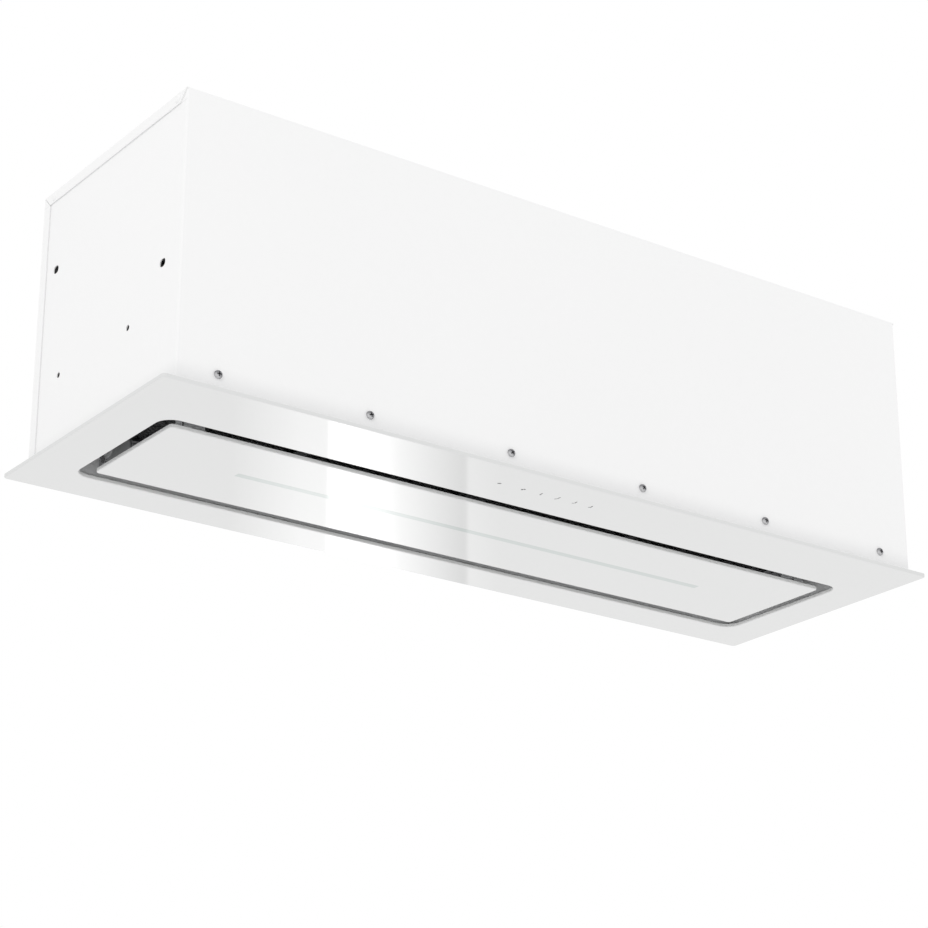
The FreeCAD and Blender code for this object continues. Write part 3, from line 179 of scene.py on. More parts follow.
# %% group: uneven tone
DUST_FINENESS = 40.0
DUST_SHARE = 0.5
tone_group, given, result = new_tree(
    "uneven_tone",
    "ShaderNodeTree",
    [("Colour", "color", (0.8, 0.8, 0.8, 1)), ("Patch Scale", "float", 6.0), ("Amount", "float", 0.03)],
    [("Colour", "color")],
)
where = object_place(tone_group)
patch_inputs = {"Vector": where, "Scale": given["Patch Scale"], "Detail": 3.0}
patches = add(tone_group, "ShaderNodeTexNoise", patch_inputs)
dust_scale = maths(tone_group, "MULTIPLY", given["Patch Scale"], DUST_FINENESS)
dust = add(tone_group, "ShaderNodeTexNoise", {"Vector": where, "Scale": dust_scale, "Detail": 4.0})
dust_part = maths(tone_group, "MULTIPLY", dust.outputs["Fac"], DUST_SHARE)
both = maths(tone_group, "ADD", patches.outputs["Fac"], dust_part)
centred = maths(tone_group, "SUBTRACT", both, (1.0 + DUST_SHARE) / 2)
swing = maths(tone_group, "MULTIPLY", centred, given["Amount"])
value = maths(tone_group, "MULTIPLY_ADD", swing, 2.0, 1.0)
shaded = add(tone_group, "ShaderNodeHueSaturation", {"Value": value, "Color": given["Colour"]})
tone_group.links.new(shaded.outputs["Color"], result["Colour"])
print("uneven_tone has", len(tone_group.nodes), "nodes")

# %% [markdown]
# ## Grain
# Rolled steel has fine lines along the rolling direction, a moulded plastic has an even pitted skin, and a
# powder coat has a soft orange peel. All three are one noise, squeezed by different amounts along X, Y and Z.
# The group gives a grain value, a roughness that follows it, and a normal from a bump.

# %% group: grain
HANDLING_SCALE = 18.0
BUMP_HEIGHT = 0.0002
grain_group, given, result = new_tree(
    "grain",
    "ShaderNodeTree",
    [
        ("Squeeze", "vector", (1.0, 1.0, 1.0)),
        ("Scale", "float", 400.0),
        ("Depth", "float", 0.1),
        ("Roughness", "float", 0.4),
        ("Roughness Spread", "float", 0.1),
    ],
    [("Grain", "float"), ("Roughness", "float"), ("Normal", "vector")],
)
where = object_place(grain_group)
squeezed = add(grain_group, "ShaderNodeMapping", {"Vector": where, "Scale": given["Squeeze"]})
fine_inputs = {"Vector": squeezed.outputs["Vector"], "Scale": given["Scale"], "Detail": 3.0}
fine = add(grain_group, "ShaderNodeTexNoise", fine_inputs)
handling_inputs = {"Vector": where, "Scale": HANDLING_SCALE, "Detail": 5.0}
handling = add(grain_group, "ShaderNodeTexNoise", handling_inputs)
mixed = maths(grain_group, "ADD", fine.outputs["Fac"], handling.outputs["Fac"])
centred = maths(grain_group, "SUBTRACT", mixed, 1.0)
spread = maths(grain_group, "MULTIPLY", centred, given["Roughness Spread"])
rough = maths(grain_group, "ADD", given["Roughness"], spread)
bump_inputs = {"Strength": given["Depth"], "Distance": BUMP_HEIGHT, "Height": fine.outputs["Fac"]}
bump = add(grain_group, "ShaderNodeBump", bump_inputs)
grain_group.links.new(fine.outputs["Fac"], result["Grain"])
grain_group.links.new(rough, result["Roughness"])
grain_group.links.new(bump.outputs["Normal"], result["Normal"])
print("grain has", len(grain_group.nodes), "nodes")

# %% [markdown]
# ## Scuffs
# Handling leaves short thin scratches. A noise that is stretched hard and cut off near its top gives sparse
# streaks. Two of them, stretched along different directions, cross each other and don't look combed.

# %% group: scuffs
STREAK_START, STREAK_FULL = 0.68, 0.76
STREAK_TURNS = (((0.3, 0.2, 0.5), (1.0, 14.0, 9.0)), ((0.9, 1.1, 0.2), (12.0, 1.0, 16.0)))
scuff_group, given, result = new_tree(
    "scuffs",
    "ShaderNodeTree",
    [("Scale", "float", 60.0), ("Amount", "float", 0.5)],
    [("Mask", "float")],
)
where = object_place(scuff_group)
streaks = []
for turn, stretch in STREAK_TURNS:
    turn_inputs = {"Vector": where, "Rotation": turn, "Scale": stretch}
    turned = add(scuff_group, "ShaderNodeMapping", turn_inputs)
    noise_inputs = {"Vector": turned.outputs["Vector"], "Scale": given["Scale"], "Detail": 2.0}
    noise = add(scuff_group, "ShaderNodeTexNoise", noise_inputs)
    cut_inputs = {"Value": noise.outputs["Fac"], "From Min": STREAK_START, "From Max": STREAK_FULL}
    streaks.append(add(scuff_group, "ShaderNodeMapRange", cut_inputs).outputs["Result"])
either = maths(scuff_group, "MAXIMUM", streaks[0], streaks[1])
scuff_group.links.new(maths(scuff_group, "MULTIPLY", either, given["Amount"]), result["Mask"])
print("scuffs has", len(scuff_group.nodes), "nodes")

# %% [markdown]
# ## A soft box
# Some finishes change inside a measured place: the clear window in the pane's white print, or the painted shade
# in the seam between two lapped sheets. This group gives 1 inside a box, given by its centre and half size, and
# 0 outside.

# %% group: soft box
box_group, given, result = new_tree(
    "soft_box",
    "ShaderNodeTree",
    [("Centre", "vector", (0, 0, 0)), ("Half Size", "vector", (1, 1, 1)), ("Softness", "float", 0.001)],
    [("Mask", "float")],
)
where = object_place(box_group)
offset = vector_maths(box_group, "SUBTRACT", where, given["Centre"])
away = vector_maths(box_group, "ABSOLUTE", offset)
past = vector_maths(box_group, "SUBTRACT", away, given["Half Size"])
axes = separate(box_group, past)
furthest = maths(box_group, "MAXIMUM", maths(box_group, "MAXIMUM", axes[0], axes[1]), axes[2])
share = maths(box_group, "DIVIDE", furthest, given["Softness"])
inside = maths(box_group, "SUBTRACT", 0.5, share)
clamped = add(box_group, "ShaderNodeClamp", {"Value": inside}).outputs[0]
box_group.links.new(clamped, result["Mask"])
print("soft_box has", len(box_group.nodes), "nodes")

# %% [markdown]
# ## Materials start the same way
# Each material is a Principled shader whose colour, roughness and normal come from the groups. Values that are
# the same all over the surface, such as how metallic it is, are set on the shader's own sockets.

# %% a material with tone, grain and scuffs
materials = {}


def bare_material(name):
    """A material with an empty tree."""
    material = bpy.data.materials.new(name)
    material.use_nodes = True
    material.node_tree.nodes.clear()
    return material, material.node_tree


def start_material(name):
    """A material with only the Principled shader and the output."""
    material, tree = bare_material(name)
    shader = add(tree, "ShaderNodeBsdfPrincipled")
    add(tree, "ShaderNodeOutputMaterial", {"Surface": shader.outputs["BSDF"]})
    materials[name] = material
    return tree, shader


def mix_colour(tree, mask, first, second):
    """The first colour where the mask is 0, the second where it is 1."""
    mixer = add(tree, "ShaderNodeMix", data_type="RGBA")
    for key, value in (("Factor", mask), ("A", first), ("B", second)):
        socket = next(s for s in mixer.inputs if s.enabled and s.name == key)
        if isinstance(value, bpy.types.NodeSocket):
            tree.links.new(value, socket)
        else:
            socket.default_value = value
    return next(s for s in mixer.outputs if s.enabled)


def set_base(tree, shader, colour):
    """Give a shader its final colour."""
    tree.links.new(colour, shader.inputs["Base Color"])


def finish_material(name, colour, metallic, tone, grain, scuff=None):
    """tone is (patch scale, amount), grain is (squeeze, scale, depth, roughness, spread), scuff is
    (scale, amount, colour of the scratch)."""
    tree, shader = start_material(name)
    shader.inputs["Metallic"].default_value = metallic
    tone_inputs = {"Colour": (*colour, 1), "Patch Scale": tone[0], "Amount": tone[1]}
    base = place(tree, tone_group, tone_inputs)["Colour"]
    keys = ("Squeeze", "Scale", "Depth", "Roughness", "Roughness Spread")
    skin = place(tree, grain_group, dict(zip(keys, grain)))
    if scuff:
        mask = place(tree, scuff_group, {"Scale": scuff[0], "Amount": scuff[1]})["Mask"]
        base = mix_colour(tree, mask, base, (*scuff[2], 1))
    set_base(tree, shader, base)
    tree.links.new(skin["Roughness"], shader.inputs["Roughness"])
    tree.links.new(skin["Normal"], shader.inputs["Normal"])
    return tree, shader, base


EVEN = (1.0, 1.0, 1.0)
ALONG_X = (0.03, 1.0, 1.0)
print("material helpers ready")

# %% [markdown]
# ## White powder coat
# The casing is folded sheet steel with a satin white powder coat. Powder melts into a skin that is flat from
# afar and slightly pebbled close up, so the bump is fine and shallow and the gloss is broken up softly.
# Shade is painted along the seams of the lapped sheets, as the shadow in their gaps, and towards the foot, as
# the shade under the glass frame's overhang; both turn the white greyer.

# %% the casing's white
tree, shader, base = finish_material(
    "white_steel", (0.915, 0.915, 0.915), 0.0, (3.0, 0.012), (EVEN, 1400.0, 0.06, 0.42, 0.08),
    (90.0, 0.05, (0.72, 0.72, 0.72)),
)
# Painted shade: greyer towards the foot, under the glass's overhang, and along the seams, as the shadow in
# their gaps.
FOOT_SHADE_HEIGHT = 0.026
FOOT_SHADE = 0.6
SHADED_WHITE = (0.72, 0.72, 0.725, 1)
SEAM_HALF_WIDTH = 0.0005
SEAM_SOFTNESS = 0.0008
SEAM_SHADE = 0.35
SIDE_DEPTH = 0.003
casing_low, casing_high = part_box("casing_wrap")
seam_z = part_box("top_cover")[0].z
seam_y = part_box("back_panel")[0].y
side_x = casing_high.x
xyz = separate(tree, object_place(tree))
foot_top = casing_low.z + FOOT_SHADE_HEIGHT
foot_inputs = {
    "Value": xyz[2], "From Min": casing_low.z, "From Max": foot_top, "To Min": FOOT_SHADE, "To Max": 0.0,
}
painted_shade = add(tree, "ShaderNodeMapRange", foot_inputs, interpolation_type="SMOOTHSTEP").outputs["Result"]
slant = maths(tree, "SUBTRACT", xyz[1], xyz[2])
mitre = maths(tree, "SUBTRACT", slant, seam_y - seam_z + SEAM_HALF_WIDTH / 2)
on_mitre = maths(tree, "LESS_THAN", maths(tree, "ABSOLUTE", mitre), SEAM_HALF_WIDTH)
half_lap = -seam_z / 2
half_height = (casing_high.z - casing_low.z) / 2
half_depth = (casing_high.y - casing_low.y) / 2
for side in (-1, 1):
    seams = (
        ((0.0, seam_z - SEAM_HALF_WIDTH / 2), (half_depth, SEAM_HALF_WIDTH), None),
        ((seam_y - SEAM_HALF_WIDTH / 2, seam_z - half_height), (SEAM_HALF_WIDTH, half_height), None),
        ((seam_y + half_lap, seam_z / 2), (half_lap, half_lap), on_mitre),
    )
    for (centre_y, centre_z), (half_y, half_z), limit in seams:
        mask = place(tree, box_group, {
            "Centre": (side * side_x, centre_y, centre_z), "Half Size": (SIDE_DEPTH, half_y, half_z),
            "Softness": SEAM_SOFTNESS,
        })["Mask"]
        if limit:
            mask = maths(tree, "MULTIPLY", mask, limit)
        painted_shade = maths(tree, "MAXIMUM", painted_shade, maths(tree, "MULTIPLY", mask, SEAM_SHADE))
set_base(tree, shader, mix_colour(tree, painted_shade, base, SHADED_WHITE))
print("white_steel made, seams at y", round(seam_y, 4), "and z", round(seam_z, 4))

# %% [markdown]
# ## Bare and plated steel
# Zinc-plated sheet shows the mill's fine lines along its length, a cloudy tone and light scratches. The liner
# is bright and matt below and dark higher up, near the filters, and the filters are dark with some grain: this
# dark is painted shade, standing in for the shade inside the hood. Towards the filters' two far ends both are
# painted paler, as light coming in through the end gaps. The hinge brackets are darker, with a lighter boss
# face and a rivet head painted near black as shade.

# %% steels
# Painted light and shade: the dark tone stands in for the shade inside the hood, and the pale tone for light
# coming in through the end gaps towards the filters' far ends.
END_REACH = 0.062
END_SOFTNESS = 0.012
SIDE_SPARE = 0.1
CAVITY_SHADE = (0.085, 0.088, 0.092)
END_GAP_LIGHT = (0.30, 0.30, 0.31, 1)
mesh_low, mesh_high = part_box("filter_left_pad")[0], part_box("filter_right_pad")[1]
shaded_middle_half = (mesh_high - mesh_low) / 2 + Vector((-END_REACH, SIDE_SPARE, SIDE_SPARE))
shaded_middle_box = {"Centre": (mesh_low + mesh_high) / 2, "Half Size": shaded_middle_half, "Softness": END_SOFTNESS}


def shaded_middle_lit_ends(tree, dark):
    """A dark tone, painted shade inside the hood, that turns paler towards the filters' two far ends as painted
    light from the end gaps.
    """
    return mix_colour(tree, place(tree, box_group, shaded_middle_box)["Mask"], END_GAP_LIGHT, dark)


finish_material(
    "grey_steel", (0.55, 0.555, 0.56), 0.25, (22.0, 0.10), (ALONG_X, 900.0, 0.10, 0.46, 0.14),
    (70.0, 0.15, (0.68, 0.685, 0.69)),
)
tree, shader, base = finish_material(
    "liner_steel", (0.80, 0.805, 0.81), 0.0, (22.0, 0.08), (ALONG_X, 900.0, 0.08, 0.50, 0.12),
    (70.0, 0.10, (0.86, 0.865, 0.87)),
)
# Above these heights the liner turns to the dark tone, painted shade inside the hood.
SHADE_START_HEIGHT = (0.022, 0.030)
xyz = separate(tree, object_place(tree))
liner_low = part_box("filter_frame")[0].z
shade_low, shade_high = (liner_low + height for height in SHADE_START_HEIGHT)
shade_inputs = {"Value": xyz[2], "From Min": shade_low, "From Max": shade_high}
shaded_upper = add(tree, "ShaderNodeMapRange", shade_inputs).outputs["Result"]
upper_shade = shaded_middle_lit_ends(tree, (*CAVITY_SHADE, 1))
set_base(tree, shader, mix_colour(tree, shaded_upper, base, upper_shade))
tree, shader, base = finish_material(
    "bracket_steel", (0.31, 0.315, 0.32), 0.25, (22.0, 0.10), (ALONG_X, 900.0, 0.10, 0.44, 0.14),
    (70.0, 0.15, (0.45, 0.455, 0.46)),
)
# Lighter on the boss's face; the rivet head is painted near black, as shade.
BOSS_DEPTH, RIVET_DEPTH = 0.002, 0.0012
BOSS_TINT, SHADED_RIVET_TINT = (0.60, 0.605, 0.61, 1), (0.10, 0.10, 0.102, 1)
bracket_low, bracket_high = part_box("hinge_brackets")
for depth, tint in ((BOSS_DEPTH, BOSS_TINT), (RIVET_DEPTH, SHADED_RIVET_TINT)):
    between = (bracket_high - bracket_low) / 2 + Vector((-depth, 1.0, 1.0))
    inner_part = {"Centre": (bracket_low + bracket_high) / 2, "Half Size": between, "Softness": 0.0002}
    base = mix_colour(tree, place(tree, box_group, inner_part)["Mask"], tint, base)
set_base(tree, shader, base)
# The filters' frames are dark as painted shade inside the hood, and paler towards their ends as painted light.
tree, shader, base = finish_material(
    "dark_aluminium", CAVITY_SHADE, 0.35, (14.0, 0.10), (ALONG_X, 700.0, 0.08, 0.46, 0.14),
    (60.0, 0.08, (0.22, 0.225, 0.23)),
)
set_base(tree, shader, shaded_middle_lit_ends(tree, base))
tree, shader, base = finish_material(
    "screw_steel", (0.24, 0.24, 0.25), 1.0, (120.0, 0.14), (EVEN, 2600.0, 0.12, 0.28, 0.16),
    (260.0, 0.3, (0.5, 0.5, 0.51)),
)
# Painted highlight: faces of the screw heads that turn towards the lower left, where the light comes from, are
# painted lighter.
LIT_SIDE = (-0.55, -0.35, -0.76)
LIT_FROM, LIT_TO = 0.30, 0.80
LIT_STEEL = (0.58, 0.58, 0.59, 1)
lit_inputs = {0: add(tree, "ShaderNodeTexCoord").outputs["Normal"], 1: LIT_SIDE}
facing = add(tree, "ShaderNodeVectorMath", lit_inputs, operation="DOT_PRODUCT").outputs["Value"]
wear_and_lit_side = add(tree, "ShaderNodeMapRange", {"Value": facing, "From Min": LIT_FROM, "From Max": LIT_TO})
set_base(tree, shader, mix_colour(tree, wear_and_lit_side.outputs["Result"], base, LIT_STEEL))
# The cross recess is painted near black, as the shade inside it.
finish_material("shaded_recess_steel", (0.03, 0.03, 0.031), 0.3, (120.0, 0.10), (EVEN, 2600.0, 0.10, 0.5, 0.1))
finish_material(
    "motor_steel", (0.5, 0.5, 0.51), 1.0, (30.0, 0.10), (ALONG_X, 1300.0, 0.10, 0.34, 0.12),
    (110.0, 0.3, (0.7, 0.7, 0.71)),
)
finish_material(
    "bearing_steel", (0.7, 0.7, 0.72), 1.0, (60.0, 0.05), (ALONG_X, 2200.0, 0.05, 0.16, 0.08),
    (200.0, 0.2, (0.85, 0.85, 0.86)),
)
finish_material(
    "handle_wire", (0.75, 0.75, 0.76), 1.0, (80.0, 0.06), (ALONG_X, 2000.0, 0.06, 0.20, 0.10),
    (220.0, 0.25, (0.9, 0.9, 0.9)),
)
finish_material(
    "plain_aluminium", (0.62, 0.63, 0.64), 1.0, (26.0, 0.10), (ALONG_X, 1100.0, 0.09, 0.34, 0.14),
    (80.0, 0.3, (0.8, 0.8, 0.81)),
)
# The mesh is near black as painted shade inside the hood, and paler towards its ends as painted light.
tree, shader, base = finish_material(
    "dark_mesh", (0.06, 0.06, 0.062), 0.7, (40.0, 0.12), (EVEN, 1600.0, 0.10, 0.45, 0.12),
)
set_base(tree, shader, shaded_middle_lit_ends(tree, base))
finish_material(
    "lamination", (0.25, 0.25, 0.26), 0.9, (30.0, 0.12), ((40.0, 0.6, 0.6), 60.0, 0.35, 0.46, 0.16),
)
print("steels made:", len(materials), "materials so far")

# %% [markdown]
# ## Mouldings, copper and boards
# The blower, the collar and the boxes are moulded plastic with a fine even texture. The copper windings and
# the circuit boards are seen only when the hood is taken apart, but they get a finish too: wire turns as fine
# ridges, and tracks as a pattern of lines under green lacquer.

# %% plastics and foam
PLASTICS = {
    "black_plastic": ((0.035, 0.035, 0.037), 0.46, (0.12, 0.12, 0.12)),
    "grey_plastic": ((0.40, 0.41, 0.42), 0.44, (0.55, 0.56, 0.57)),
    "white_plastic": ((0.84, 0.84, 0.83), 0.42, (0.7, 0.7, 0.69)),
}
for name, (colour, roughness, wear_and_lit_side) in PLASTICS.items():
    finish_material(
        name, colour, 0.0, (12.0, 0.06), (EVEN, 1500.0, 0.16, roughness, 0.12), (110.0, 0.22, wear_and_lit_side)
    )
finish_material("opal_plastic", (0.86, 0.88, 0.86), 0.0, (20.0, 0.02), (EVEN, 1800.0, 0.03, 0.30, 0.06))
finish_material("foam_tape", (0.74, 0.74, 0.73), 0.0, (60.0, 0.18), (EVEN, 1600.0, 0.7, 0.85, 0.12))
print("plastics made")

# %% copper turns and circuit tracks
finish_material(
    "copper", (0.72, 0.36, 0.18), 0.9, (80.0, 0.12), ((0.4, 60.0, 60.0), 24.0, 0.5, 0.30, 0.12)
)
tree, shader, base = finish_material(
    "circuit_board", (0.03, 0.20, 0.10), 0.0, (40.0, 0.12), (EVEN, 900.0, 0.05, 0.32, 0.08)
)
track_inputs = {
    "Vector": object_place(tree), "Scale": 130.0, "Row Height": 0.25, "Mortar Size": 0.03, "Brick Width": 0.9,
}
tracks = add(tree, "ShaderNodeTexBrick", track_inputs)
set_base(tree, shader, mix_colour(tree, tracks.outputs["Fac"], base, (0.09, 0.36, 0.20, 1)))
print("copper and circuit_board made")

# %% [markdown]
# ## White glass
# The frame and the pane are toughened glass, printed white on the hidden side. Seen from below, the white lies
# under a clear polished face, so the face is smooth and glossy while the colour is soft. The ground edges
# are not printed: they look through the glass's own grey green. The edges in the gap are painted much lighter
# than the outer ones, as painted light. The object's own normal tells face from edge.
# In the pane's print a narrow window is left clear for the lamp, which shows as a faint grey-green line.

# %% glass with printed face and ground edge
pane_low, pane_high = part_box("pane_glass")
INNER_MARGIN = 0.022
PRINT_WHITE = (0.83, 0.833, 0.83, 1)
WINDOW_TINT = (0.655, 0.70, 0.685, 1)
ARRIS = (0.78, 0.785, 0.782, 1)
OUTER_EDGE = (0.72, 0.725, 0.722, 1)
# Painted light: the edges in the gap are painted lighter than the outer ones.
LIT_GAP_EDGE = (0.95, 0.955, 0.95, 1)
FACE_UPRIGHT, SIDE_UPRIGHT = 0.85, 0.25
POLISH, SMEAR, EDGE_ROUGHNESS = 0.02, 0.02, 0.25
inner_half = (pane_high - pane_low) / 2 + Vector((INNER_MARGIN, INNER_MARGIN, INNER_MARGIN))
inner_box = {"Centre": (pane_low + pane_high) / 2, "Half Size": inner_half, "Softness": 0.001}


def white_glass(name, window=None):
    """Glass with a printed face; window is the centre and half size of a clear place in the print."""
    tree, shader = start_material(name)
    tone_inputs = {"Colour": PRINT_WHITE, "Patch Scale": 4.0, "Amount": 0.006}
    face = place(tree, tone_group, tone_inputs)["Colour"]
    if window:
        centre, half_size = window
        window_inputs = {"Centre": centre, "Half Size": half_size, "Softness": 0.0008}
        face = mix_colour(tree, place(tree, box_group, window_inputs)["Mask"], face, WINDOW_TINT)
    normal = add(tree, "ShaderNodeTexCoord").outputs["Normal"]
    upright = maths(tree, "ABSOLUTE", separate(tree, normal)[2])
    flat = maths(tree, "GREATER_THAN", upright, FACE_UPRIGHT)
    side = maths(tree, "LESS_THAN", upright, SIDE_UPRIGHT)
    inner = place(tree, box_group, inner_box)["Mask"]
    edge = mix_colour(tree, inner, OUTER_EDGE, LIT_GAP_EDGE)
    ground = mix_colour(tree, side, ARRIS, edge)
    set_base(tree, shader, mix_colour(tree, flat, ground, face))
    smear = add(tree, "ShaderNodeTexNoise", {"Vector": object_place(tree), "Scale": 9.0, "Detail": 6.0})
    polished = maths(tree, "MULTIPLY_ADD", smear.outputs["Fac"], SMEAR, POLISH)
    rough_edge = maths(tree, "MULTIPLY_ADD", maths(tree, "SUBTRACT", 1.0, flat), EDGE_ROUGHNESS, polished)
    tree.links.new(rough_edge, shader.inputs["Roughness"])
    shader.inputs["IOR"].default_value = 1.5


white_glass("white_glass")
diffuser_low, diffuser_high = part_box("light_diffuser")
window_centre = (diffuser_low + diffuser_high) / 2
window_half = (diffuser_high - diffuser_low) / 2 + Vector((0, 0, 0.02))
white_glass("pane_glass", (window_centre, window_half))
print("window is", [round(2000 * v, 1) for v in window_half[:2]], "mm")

# %% [markdown]
# ## Finishes go on the measured pieces
# The record says which finish each piece has. A piece keeps its shape and only gets the material of its slot.
# The pane has a glass of its own, because only its print has the window for the lamp, and the steel pieces that
# show in the gap have shades of their own.

# %% assign the finishes
own_finish = {
    "pane_glass": "pane_glass", "filter_frame": "liner_steel", "strike_plates": "liner_steel",
    "hinge_brackets": "bracket_steel", "glass_carrier": "liner_steel",
}
for subpart in frame["record"]["subparts"]:
    node = subpart["node"]
    target = frame["nodes"][node]
    target.data.materials.clear()
    target.data.materials.append(materials[own_finish.get(node, subpart["material_slot"])])

# %% [markdown]
# ## Growing repeated pieces
# Screws, rivets and mesh repeat one shape many times, so a node tree grows them from a few named sizes. The
# modifier's inputs are set by each socket's identifier, the grown result is read once as a plain mesh, and
# the carrier that held the modifier is thrown away. The mesh then rides on its body like any other piece.

# %% grow a tree into a plain mesh
def bring(name, inputs):
    """A geometry tree's named inputs, and its single output."""
    made, given, result = new_tree(name, "GeometryNodeTree", inputs, [("Geometry", "geometry")])
    return made, given, result["Geometry"]


def coated(tree, geometry, material):
    """Geometry with a material on all its faces."""
    inputs = {"Geometry": geometry, "Material": material}
    return add(tree, "GeometryNodeSetMaterial", inputs).outputs["Geometry"]


def close_tree(tree, instances, out):
    """End a tree with real geometry."""
    real = add(tree, "GeometryNodeRealizeInstances", {"Geometry": instances})
    tree.links.new(real.outputs["Geometry"], out)


def shifted(tree, geometry, move):
    """Geometry moved by a vector."""
    return add(tree, "GeometryNodeTransform", {"Geometry": geometry, "Translation": move}).outputs[0]


def line_of_points(tree, count, start, step):
    """Points at equal steps along a line."""
    inputs = {"Count": count, "Start Location": start, "Offset": step}
    return add(tree, "GeometryNodeMeshLine", inputs, mode="OFFSET").outputs["Mesh"]


def sunk_rod(tree, radius, length):
    """A round rod that reaches down from the origin."""
    rod = add(tree, "GeometryNodeMeshCylinder", {"Vertices": 20, "Radius": radius, "Depth": length})
    return shifted(tree, rod.outputs["Mesh"], combine(tree, {2: maths(tree, "MULTIPLY", length, -0.5)}))


def pulled_head(tree, radius, height, counts, power, pull_in, crown=None):
    """A cylinder on the origin. Its rings are pulled in towards the top, and crown lifts the top's middle.
    counts are its vertices round and its side segments."""
    head = add(tree, "GeometryNodeMeshCylinder", {
        "Vertices": counts[0], "Side Segments": counts[1], "Fill Segments": 4,
        "Radius": radius, "Depth": height,
    })
    xyz = separate(tree, add(tree, "GeometryNodeInputPosition").outputs[0])
    rise = maths(tree, "ADD", maths(tree, "DIVIDE", xyz[2], height), 0.5)
    pull = maths(tree, "MULTIPLY_ADD", maths(tree, "POWER", rise, power), -pull_in, 1.0)
    top = maths(tree, "MULTIPLY_ADD", height, 0.5, xyz[2])
    if crown:
        squares = [maths(tree, "MULTIPLY", xyz[axis], xyz[axis]) for axis in (0, 1)]
        share = maths(tree, "DIVIDE", maths(tree, "SQRT", maths(tree, "ADD", *squares)), radius)
        fall = maths(tree, "SUBTRACT", 1.0, maths(tree, "MULTIPLY", share, share))
        most = maths(tree, "MULTIPLY", height, maths(tree, "MULTIPLY", rise, crown))
        top = maths(tree, "ADD", top, maths(tree, "MULTIPLY", fall, most))
    moved = combine(tree, {
        0: maths(tree, "MULTIPLY", xyz[0], pull), 1: maths(tree, "MULTIPLY", xyz[1], pull), 2: top,
    })
    pulled = add(tree, "GeometryNodeSetPosition", {"Geometry": head.outputs["Mesh"], "Position": moved})
    return pulled.outputs["Geometry"]


def joined(tree, parts):
    """Several pieces of geometry as one."""
    join = add(tree, "GeometryNodeJoinGeometry")
    for part in parts:
        tree.links.new(part, join.inputs[0])
    return join.outputs[0]


def grow(name, tree, values, smooth_angle=35.0):
    """Run a tree and keep what it made as an object with a plain mesh."""
    carrier = bpy.data.objects.new(name + "_carrier", bpy.data.meshes.new(name + "_carrier"))
    show(carrier)
    modifier = carrier.modifiers.new("grow", "NODES")
    modifier.node_group = tree
    for item in tree.interface.items_tree:
        if item.in_out == "INPUT" and item.name in values:
            modifier[item.identifier] = values[item.name]
    depsgraph = bpy.context.evaluated_depsgraph_get()
    mesh = bpy.data.meshes.new_from_object(carrier.evaluated_get(depsgraph), depsgraph=depsgraph)
    mesh.name = name
    bpy.data.objects.remove(carrier)
    return keep(name, mesh, smooth_angle)


def keep(name, mesh, smooth_angle):
    """Put a finished mesh in the scene, smooth except at its sharp edges."""
    mesh.polygons.foreach_set("use_smooth", [True] * len(mesh.polygons))
    mesh.set_sharp_from_angle(angle=math.radians(smooth_angle))
    piece = bpy.data.objects.new(name, mesh)
    show(piece)
    return piece


print("growing helpers ready")

# %% [markdown]
# ## Pan-head screws
# Each long side of the casing is held by six M4 screws with a pan head and a cross recess. The head is a
# cylinder whose rings are pulled in towards the top, which gives the pan's rounded shoulder. Two crossed bars
# with a small cone cut the recess, and a shank goes into the nut. A line of points carries the copies.

# %% tree: row of screws
PAN_PULL, PAN_CROWN = 0.34, 0.14
RECESS_ARM = (1.12, 0.24)
RECESS_DEPTH, RECESS_LIFT = 1.3, 1.1
RECESS_CONE = (0.34, 0.12)
SCREW_SPIN = 1.9


